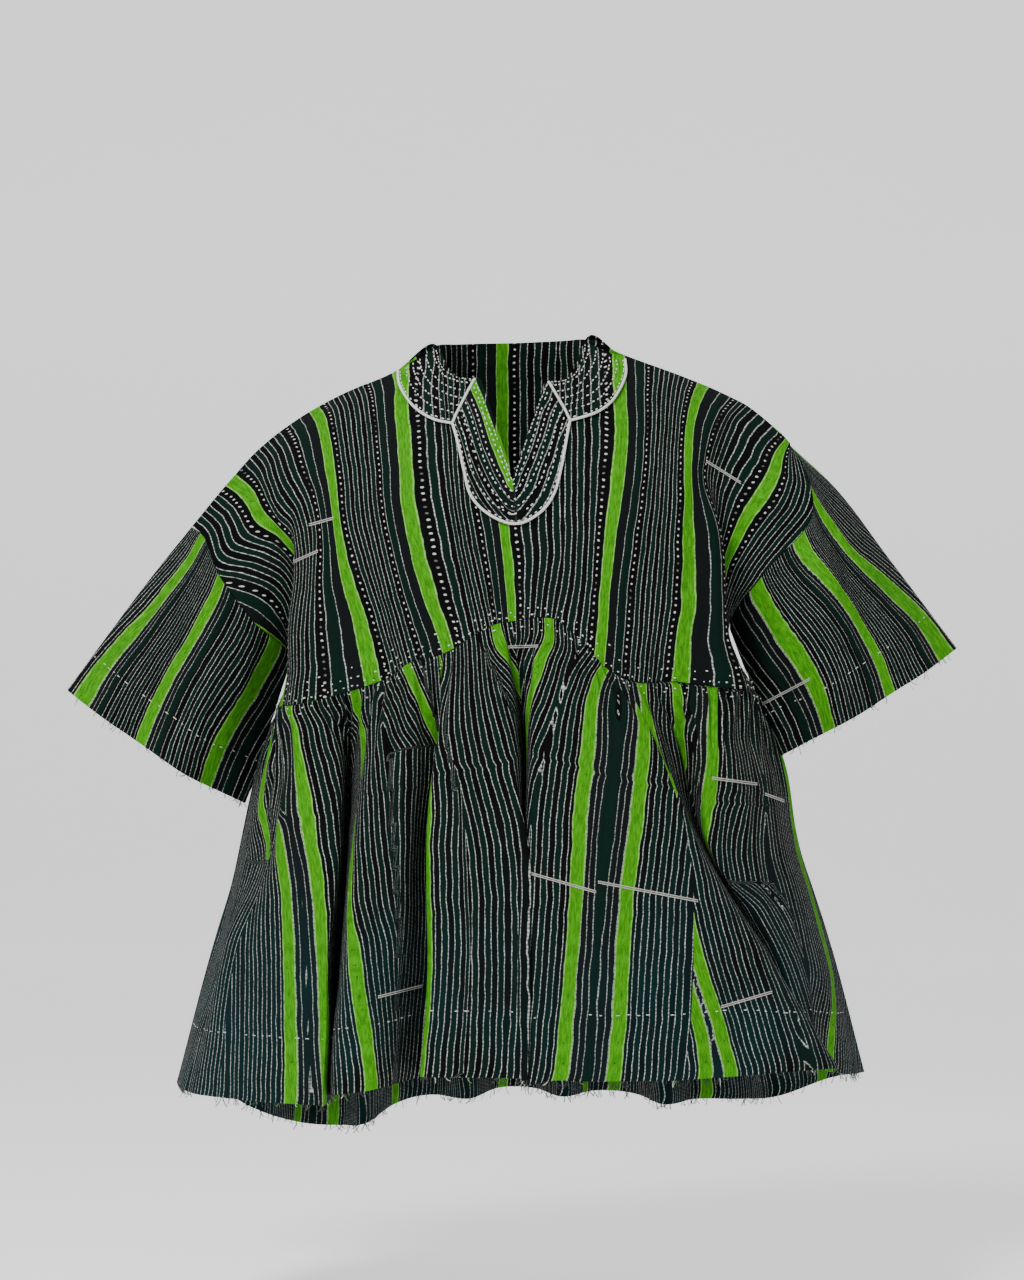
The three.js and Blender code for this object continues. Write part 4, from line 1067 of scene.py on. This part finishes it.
def strip_cloth(name, line_strength=1.0, quilted=False, lines_only=False):
    """Cloth of joined strips: stripes across the chart, threads and stitches down it."""
    green_half = GREEN_HALF_SKIRT if lines_only else GREEN_HALF
    g = Graph(name, roughness=0.9, sheen=0.01, specular=0.03)
    chart = g.split(g.node("ShaderNodeUVMap", uv_map="Chart"))
    across, down = abs(chart[0]), chart[1]
    place = g.place()

    def grain(per_across, per_down, detail=1.0):
        return g.noise(g.node("ShaderNodeCombineXYZ", {0: across * per_across, 1: down * per_down}), 1.0, detail)

    shiver = grain(15.0, 7.0, 2.0)
    d = across + ((grain(1.2, 2.2) - 0.5) * DRIFT + (shiver - 0.5) * SHIVER)
    t = g.math("FRACT", d)
    tt = t - (t > WRAP)
    # The ground between the lines.
    ground = g.node("ShaderNodeValToRGB", {0: t})
    ramp = ground.socket.node.color_ramp
    ramp.interpolation = "CONSTANT"
    ramp.elements.remove(ramp.elements[1])
    for position, colour in GROUNDS:
        stop = ramp.elements.new(position) if position else ramp.elements[0]
        stop.color = (*colour, 1)
    low = g.step(g.split(place)[2], -0.40, -0.72) * g.step(g.noise(place, 5.0), 0.4, 0.62)
    ground = g.mix(low * 0.75, ground, TEAL)
    ground = g.mix(g.step(g.noise(place, 28.0), 0.35, 0.7) * 0.35, ground, CHARCOAL)
    # Thin white lines, beaded.
    count = (FIRST_LINE - tt) / LINE_STEP
    nearest = g.math("ROUND", count)
    off = abs(count - nearest) * LINE_STEP
    if not lines_only:
        off = off + (1.0 - (count > -0.4) * (count < LINES - 0.6))
        for lone in LONE_LINES:
            off = g.math("MINIMUM", off, abs(tt - lone))
    line = g.step(off, LINE_HALF - LINE_SOFT, LINE_HALF + LINE_SOFT, 1.0, 0.0)
    if lines_only:
        past = d > BASE + 0.06
        faint, none = (past * ((t > low_end) * (t < high_end)) for low_end, high_end in (CHARCOAL_LINES, JOIN_LINES))
        line = line * (1.0 - faint * 0.25) * (1.0 - none)
    beads = grain(22.0, 26.0)
    beat = g.math("SINE", down * (2 * math.pi / BEAD_PITCH) + (nearest * 2.3 + beads * 9.0))
    strength = g.step(beads, 0.28, 0.5, 0.5, 1.0) * g.step(beat, -0.75, 0.1, 0.35, 1.0)
    line = line * (strength * g.step(grain(14.0, 1.6), 0.25, 0.6, 0.6, 1.0)) * line_strength
    # Columns of dots.
    phase = (down + (shiver - 0.5) * 0.03) / DOT_PITCH
    along = (g.math("FRACT", phase) - 0.5) * DOT_PITCH
    dots = 0.0
    for column in () if lines_only else DOTS:
        aside = tt - column
        radius = g.math("SQRT", aside * aside + along * along)
        dots = g.math("MAXIMUM", dots, g.step(radius, DOT_RADIUS, DOT_RADIUS + DOT_SOFT, 1.0, 0.0))
    dots = g.math("MULTIPLY", dots, g.step(grain(3.0, 5.0), 0.36, 0.5, 0.15, 1.0))
    # The green band: threads of light and dark, pale edges and dark specks.
    aside = abs(tt - 0.5)
    band = g.step(aside, green_half - 0.004, green_half + 0.002, 1.0, 0.0)
    tone = (g.wave(tt, GREEN_THREAD_PITCH) * g.wave(down, GREEN_WEFT_PITCH) * 0.24
            + (g.step(grain(60.0, 9.0, 3.0), 0.3, 0.7) * 0.62 + 0.10))
    edge = g.step(aside, green_half - 0.016, green_half - 0.008) * g.step(beads, 0.3, 0.55, 0.25, 0.8)
    green = g.mix(edge, g.mix(tone, GREEN_DEEP, GREEN), GREEN_PALE)
    specks = g.step(grain(70.0, 34.0), 0.66, 0.72) * g.step(abs(tt - 0.497), 0.012, 0.03, 1.0, 0.35)
    green = g.mix(specks * 0.8, green, BLACK)
    white = g.math("MAXIMUM", line, dots) * (1.0 - band)
    colour = g.mix(white * 0.94, g.mix(band, ground, green), WHITE)
    # Ribs of the weave, finer than the stripes, under the raised white threads.
    rib, slub = g.wave(across, RIB_PITCH), grain(90.0, 12.0, 2.0)
    weave = rib * 0.5 + rib * g.wave(down, PICK_PITCH) * 0.5
    normal = g.bump(weave * 0.35 + (slub + white * 0.9), 0.0005, 0.9)
    join = g.step(abs(tt - JOIN), 0.0, 0.03, 1.0, 0.0)
    normal = g.bump(g.noise(place, 60.0) + join * 0.8, 0.0012, 0.6, normal)
    if quilted:
        normal = g.bump(g.noise(place, 160.0), 0.0008, 0.7, normal)
    return g.finish(colour, normal, g.step(slub, 0.2, 0.8, 0.92, 0.74))


FIBRES = 900.0  # the noise's scale


def cotton(name, colour, shade):
    """Twisted cotton thread or cord: pale, matt, a little uneven."""
    g = Graph(name, roughness=0.8, sheen=0.2, specular=0.3)
    fibre = g.noise(g.place(), FIBRES)
    return g.finish(g.mix(g.step(fibre, 0.3, 0.7), shade, colour), g.bump(fibre, 0.0003, 0.6),
                    g.step(fibre, 0.2, 0.8, 0.9, 0.7))


CLOTH = strip_cloth("strip_cloth")
SKIRT_CLOTH = strip_cloth("skirt_cloth", lines_only=True)
QUILTED = strip_cloth("quilted_cloth", 0.75, True)
CORD = cotton("white_cord", (0.74, 0.74, 0.70), (0.50, 0.50, 0.46))
THREAD = cotton("white_thread", (0.72, 0.72, 0.68), (0.48, 0.48, 0.45))
WEFT = cotton("weft_thread", (0.50, 0.46, 0.42), (0.30, 0.29, 0.27))
GREEN_THREAD = cotton("green_thread", (0.10, 0.33, 0.02), (0.05, 0.20, 0.01))
DARK_THREAD = cotton("dark_thread", (0.016, 0.020, 0.019), (0.008, 0.010, 0.010))


def settle(piece, material, replaces=None):
    """Gives a mesh its material and its place in the frame."""
    piece.data.materials.append(material)
    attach(piece, "root")
    if replaces:
        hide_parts(replaces)
    return piece


for shell in shells.values():
    facing = shell in facings
    material = QUILTED if facing else CLOTH if shell.name.startswith("yoke") else SKIRT_CLOTH
    settle(shell_piece(shell, f"cloth_{shell.name}"), material,
                                shell.name)


# ---- Threads and cords ----
SPARE = 1e-9  # keeps a direction of no length from dividing by 0
ASKEW = (0.31, 0.17, 0.94)  # no thread runs this way


def ringed(name, bodies):
    """One mesh of closed bodies, each an array of rings of points in millimetres."""
    faces, sizes, total = [], [], 0
    for rings in bodies:
        count, sides = rings.shape[:2]
        a, b = (k.ravel() for k in np.meshgrid(np.arange(count - 1), np.arange(sides), indexing="ij"))
        c = (b + 1) % sides
        walls = np.stack([a * sides + b, a * sides + c, (a + 1) * sides + c, (a + 1) * sides + b], 1)
        caps = np.concatenate([np.arange(sides)[::-1], (count - 1) * sides + np.arange(sides)])
        faces += [walls.ravel() + total, caps + total]
        sizes += [4] * len(a) + [sides] * 2
        total += count * sides
    vertices = np.concatenate([rings.reshape(-1, 3) for rings in bodies])
    return new_mesh(name, vertices, np.concatenate(faces), np.array(sizes))


def tubes(name, paths, radii, sides):
    """One mesh of round tubes along paths, each closed at its ends."""
    angles = np.arange(sides)[:, None] * 2 * math.pi / sides
    bodies = []
    for path, radius in zip(paths, radii):
        tangent = unit(np.gradient(path, axis=0), SPARE)
        side = unit(np.cross(tangent, ASKEW), SPARE)
        other = np.cross(tangent, side)
        bodies.append(path[:, None] + (side[:, None] * np.cos(angles) + other[:, None] * np.sin(angles)) * radius)
    return ringed(name, bodies)


STITCH_SIDES = 5
STITCH_PROFILE = [(0.0, 0.35), (0.22, 1.0), (0.78, 1.0), (1.0, 0.35)]  # shares of its length and of its width
STITCH_HEIGHT = 0.8  # for a width of 1


def stitches(name, marks):
    """One mesh of short rounded stitches, each from a start to an end, with its direction out and half width."""
    angles = np.arange(STITCH_SIDES)[:, None] * 2 * math.pi / STITCH_SIDES
    bodies = []
    for start, end, normal, radius in marks:
        way = end - start
        length = np.linalg.norm(way)
        if length > 1e-6:
            ring = (unit(np.cross(way / length, normal), SPARE) * np.cos(angles)
                    + normal * STITCH_HEIGHT * np.sin(angles))
            bodies.append(np.stack([start + way * share + normal * (radius * STITCH_HEIGHT * width)
                                    + radius * width * ring for share, width in STITCH_PROFILE]))
    settle(ringed(name, bodies), THREAD)


FINE = 60  # points tried for each one of a path


def along_path(shell, path, spacing, lift):
    """Places every spacing millimetres along a path of places on a shell."""
    fine = np.linspace(0, len(path) - 1, FINE * len(path))
    dense = np.stack([np.interp(fine, np.arange(len(path)), column) for column in path.T], 1)
    reach = summed(steps_of(shell.at(dense[:, 0], dense[:, 1], lift)))
    marks = np.arange(spacing / 2, reach[-1], spacing)
    return np.stack([np.interp(marks, reach, column) for column in dense.T], 1)


def row_marks(shell, path, pitch, length, radius, lift, missing, jitter, wander):
    """Marks for a row of running stitches along a path of places (column, row) on a shell."""
    places = along_path(shell, path, pitch, lift)
    marks = []
    for here, following in zip(places[:-1], places[1:]):
        if RNG.uniform() < missing:
            continue
        share = length / pitch * (1 + jitter * RNG.uniform(-1, 1))
        a = here + (following - here) * RNG.uniform(0, jitter)
        b = a + (following - a) * share
        x, z = RNG.uniform(-1, 1, 2) * wander
        start, end = (shell.at(*place, lift) + np.array([x, 0, z]) for place in (a, b))
        marks.append((start, end, shell.at(*a, field=shell.normals), radius))
    return marks


def edge_path(shell, row, trim=0, count=60):
    """A path along a row of the shell, trim columns short of its ends."""
    columns = np.linspace(trim, shell.grid.shape[0] - 1 - trim, count)
    return np.stack([columns, np.full(count, float(row))], 1)


# White cord couched round the facings' outer edges, and down the front edges of the neck's.
CORD_RADIUS, CORD_SIDES = 1.45, 8
CORD_POINTS, CORD_INSET, CORD_LIFT = 90, 0.15, 0.5
FRONT_POINTS, FRONT_LIFT = 24, 0.7
cords = []
for shell in facings:
    last_row, last_column = FACING_ACROSS - 1.0, shell.grid.shape[0] - 1.0
    cords.append(shell.at(np.linspace(0, last_column, CORD_POINTS), np.full(CORD_POINTS, last_row - CORD_INSET),
                          CORD_LIFT))
    front_edge = {"neck_facing_right": last_column, "neck_facing_left": 0.0}.get(shell.name)
    if front_edge is not None:
        cords.append(shell.at(np.full(FRONT_POINTS, front_edge), np.linspace(0, last_row, FRONT_POINTS), FRONT_LIFT))
settle(tubes("couched_cord", cords, [CORD_RADIUS] * len(cords), CORD_SIDES), CORD)

# Running stitches in rows round the collar and down the placket, and overcast ones along the neck edge and the notch.
QUILT_STITCH = dict(pitch=6.6, length=3.5, radius=0.78, lift=0.0, missing=0.04, jitter=0.25, wander=0.35)
EDGE_STITCH = dict(pitch=5.0, length=3.0, radius=0.6, lift=0.0, missing=0.1, jitter=0.3, wander=0.3)
QUILT_START = 0.62  # of a row's width, from the facing's inner edge
EDGE_ROW = 0.35
marks = []
for shell in facings:
    for k in range(QUILT_ROWS):
        row = (k + QUILT_START) / QUILT_ROWS * (FACING_ACROSS - 1)
        marks += row_marks(shell, edge_path(shell, row), **QUILT_STITCH)
stitches("quilting_stitches", marks)
marks = []
for shell in facings:
    marks += row_marks(shell, edge_path(shell, EDGE_ROW), **EDGE_STITCH)
stitches("neck_edge_stitches", marks)

# The gathered seam: rows of small stitches on the yoke, up from it, and on the skirt just under it.
YOKE_ROWS = table("up pitch missing", "1.6 8.5 0.1; 4.6 9.5 0.35; 8.2 12 0.7")
SKIRT_ROWS = table("down pitch missing", "2.5 10 0.3; 5.5 12 0.55")
YOKE_STITCH = dict(length=2.6, radius=0.75, lift=0.0, jitter=0.4, wander=1.3)
SKIRT_STITCH = dict(length=2.8, radius=0.7, lift=0.2, jitter=0.4, wander=1.6)
SEAM_TRIM, SEAM_POINTS = 4, 90
marks = []
for side, yoke in yokes.items():
    for r in YOKE_ROWS:
        path = edge_path(yoke, yoke.grid.shape[1] - 1 - r["up"], SEAM_TRIM, SEAM_POINTS)
        marks += row_marks(yoke, path, pitch=r["pitch"], missing=r["missing"], **YOKE_STITCH)
    for r in SKIRT_ROWS:
        path = edge_path(skirts[side], r["down"], SEAM_TRIM, SEAM_POINTS)
        marks += row_marks(skirts[side], path, pitch=r["pitch"], missing=r["missing"], **SKIRT_STITCH)
stitches("seam_stitches", marks)


def rows_above_edge(shell, distance):
    """A path that keeps a distance above the shell's lowest row."""
    left = shell.down[:, -1:] - shell.down
    columns = np.arange(0, shell.grid.shape[0], 3)
    rows = [np.interp(-distance, -left[i], np.arange(left.shape[1])) for i in columns]
    return np.stack([columns, rows], 1).astype(float)


# The hem's and the cuffs' stitch rows.
HEM, CUFF = 66.0, 46.0  # the rows' distance from the edge
HEM_STITCH = dict(pitch=11.5, length=4.6, radius=0.5, lift=0.0, missing=0.28, jitter=0.4, wander=0.5)
CUFF_STITCH = dict(pitch=11.0, length=4.4, radius=0.5, lift=0.0, missing=0.3, jitter=0.4, wander=0.5)
marks = []
for shell in skirts.values():
    marks += row_marks(shell, rows_above_edge(shell, HEM), **HEM_STITCH)
for shell in sleeves.values():
    marks += row_marks(shell, rows_above_edge(shell, CUFF), **CUFF_STITCH)
stitches("hem_stitches", marks)

# White weft bars: pairs of thin threads across the strips, from one pixel of the picture to another.
BARS = [("yoke_front", "309 525 334 518; 293 562 318 551; 706 461 741 483"),
        ("skirt_front", """
            508 647 538 646; 529 873 596 892; 598 882 698 901; 378 997 422 986; 712 778 757 784; 765 794 784 801
            721 1007 772 992; 679 792 702 797"""),
        ("sleeve_left", "753 709 793 688; 793 688 810 679"),
        ("skirt_front", "288 672 303 663")]
BAR_PARTS, BAR_SIDES = 26, 5
BAR_HALF = 0.9  # pixels from a pair's middle to each thread
BAR_LIFT, BAR_RADIUS = 0.15, 0.55
BAR_BREAK = 14  # a bar that has a step this long would cross a fold, and is left out
paths = []
for name, text in BARS:
    for bar in table("x1 y1 x2 y2", text):
        x1, y1, x2, y2 = bar.values()
        for aside in (-BAR_HALF, BAR_HALF):
            pixels = [(x1 + (x2 - x1) * share, y1 + (y2 - y1) * share + aside)
                      for share in np.linspace(0, 1, BAR_PARTS)]
            points = np.array([shells[name].at(*shells[name].locate(pixel), BAR_LIFT) for pixel in pixels])
            if steps_of(points).max() < BAR_BREAK:
                paths.append(points)
settle(tubes("weft_bars", paths, [BAR_RADIUS] * len(paths), BAR_SIDES), WEFT)


# Frayed threads at the hem and the cuffs.
FRAY_LENGTHS, FRAY_RADII = (3, 9), (0.25, 0.5)
FRAY_POINTS, FRAY_SIDES = 5, 4
FRAY_LEAN = (3.5, 2.5)  # how far a thread's end leans in x and y
FRAY_CURL, FRAY_LIFTS = (4, 2), (-1, 2.5)  # and how far it curls in x and y, and up


def fray(shell):
    """The path of one thread that hangs from the shell's lowest row."""
    column = RNG.uniform(2, shell.grid.shape[0] - 3)
    root = shell.at(column, shell.grid.shape[1] - 1, -shell.thickness * 0.5)
    length = RNG.uniform(*FRAY_LENGTHS)
    x, y = RNG.uniform(-1, 1, 2)
    lean = np.array([x * FRAY_LEAN[0], y * FRAY_LEAN[1], -length])
    curl = np.array([y * FRAY_CURL[0], x * FRAY_CURL[1], RNG.uniform(*FRAY_LIFTS)])
    share = np.linspace(0, 1, FRAY_POINTS)[:, None]
    return root + share * lean + share ** 2 * curl


FRAYED = (*skirts.values(), *sleeves.values())
for name, material, slot, counts in (("frayed_dark", DARK_THREAD, "strip_cloth", (170, 170, 40, 40)),
                                     ("frayed_white", THREAD, "white_cotton", (26, 34, 8, 8)),
                                     ("frayed_green", GREEN_THREAD, "strip_cloth", (22, 26, 6, 6))):
    threads = [(fray(shell), RNG.uniform(*FRAY_RADII)) for shell, count in zip(FRAYED, counts) for _ in range(count)]
    settle(tubes(name, *zip(*threads), FRAY_SIDES), material)

# ---- Each sheet's flat width and length in metres, and its area, listed but not used ----
CUTS = {
    "yoke_front": (0.72, 0.36, 0.21), "yoke_back": (0.72, 0.36, 0.21),
    "skirt_front": (1.35, 0.46, 0.47), "skirt_back": (1.35, 0.50, 0.52),
    "sleeve_right": (0.50, 0.26, 0.09), "sleeve_left": (0.50, 0.28, 0.095),
    "neck_facing_right": (0.13, 0.06, 0.006), "neck_facing_left": (0.13, 0.06, 0.006),
    "neck_facing_back": (0.25, 0.07, 0.011), "placket_facing": (0.33, 0.055, 0.011),
}
HOW_HELD = {"skirt": "gathered", "yoke": "hung", "sleeve": "hung"}
for name, (width, length, area) in CUTS.items():
    HOW_HELD.get(name.split("_")[0], "laid")

# ---- The stage: a floor that curves up to a wall, lengths in metres ----
STAGE_HALF, FLOOR, FLOOR_START, FLOOR_END, CURVE, WALL_TOP = 7.0, -1.02, -7.0, 4.8, 1.6, 5.0
profile = [(FLOOR_START, FLOOR), (FLOOR_END, FLOOR),
           *[(FLOOR_END + CURVE * math.sin(a), FLOOR + CURVE * (1 - math.cos(a)))
             for a in np.linspace(0.15, math.pi / 2, 10)], (FLOOR_END + CURVE, WALL_TOP)]
verts = [(x / MM, y / MM, z / MM) for y, z in profile for x in (-STAGE_HALF, STAGE_HALF)]
loops = [2 * k + corner for k in range(len(profile) - 1) for corner in (0, 1, 3, 2)]
backdrop = new_mesh("backdrop", verts, loops, np.full(len(profile) - 1, 4))
paper = Graph("studio_paper", roughness=0.95, specular=0.1)
paper.finish(paper.mix(paper.noise(paper.place(), 3.0), (0.86, 0.86, 0.875), (0.90, 0.90, 0.915)))
paper.shader.inputs["Emission Color"].default_value = (1.0, 1.0, 1.01, 1)
paper.shader.inputs["Emission Strength"].default_value = 0.62
backdrop.data.materials.append(paper.material)

world = bpy.data.worlds.new("studio")
bpy.context.scene.world = world
world.use_nodes = True
sky = world.node_tree.nodes["Background"].inputs
sky["Color"].default_value = (1.0, 1.0, 1.02, 1)
sky["Strength"].default_value = 0.27


def lamp(name, place, target, size, power):
    """A square lamp at a place, in metres, turned to a target."""
    light = bpy.data.lights.new(name, "AREA")
    light.shape = "RECTANGLE"
    light.size, light.size_y, light.energy = size, size, power
    lamp_object = bpy.data.objects.new(name, light)
    bpy.context.scene.collection.objects.link(lamp_object)
    lamp_object.location = place
    lamp_object.rotation_euler = (Vector(target) - Vector(place)).to_track_quat("-Z", "Y").to_euler()


lamp("key", (-1.3, -2.6, 2.2), (0, 0, -0.4), size=0.9, power=158)
lamp("fill", (2.2, -2.4, 0.6), (0, 0, -0.4), size=1.4, power=15)
lamp("top", (0.2, 0.2, 2.4), (0, 0, -0.3), size=1.4, power=30)

camera = bpy.data.objects.new("camera", bpy.data.cameras.new("camera"))
bpy.context.scene.collection.objects.link(camera)
camera.location = (0, -CAMERA_DISTANCE * MM, CAMERA_Z * MM)
camera.rotation_euler = (math.pi / 2, 0, 0)
camera.data.sensor_width = SENSOR
camera.data.lens = SENSOR * CAMERA_DISTANCE / (PICTURE_HEIGHT * PIXEL)
bpy.context.scene.camera = camera
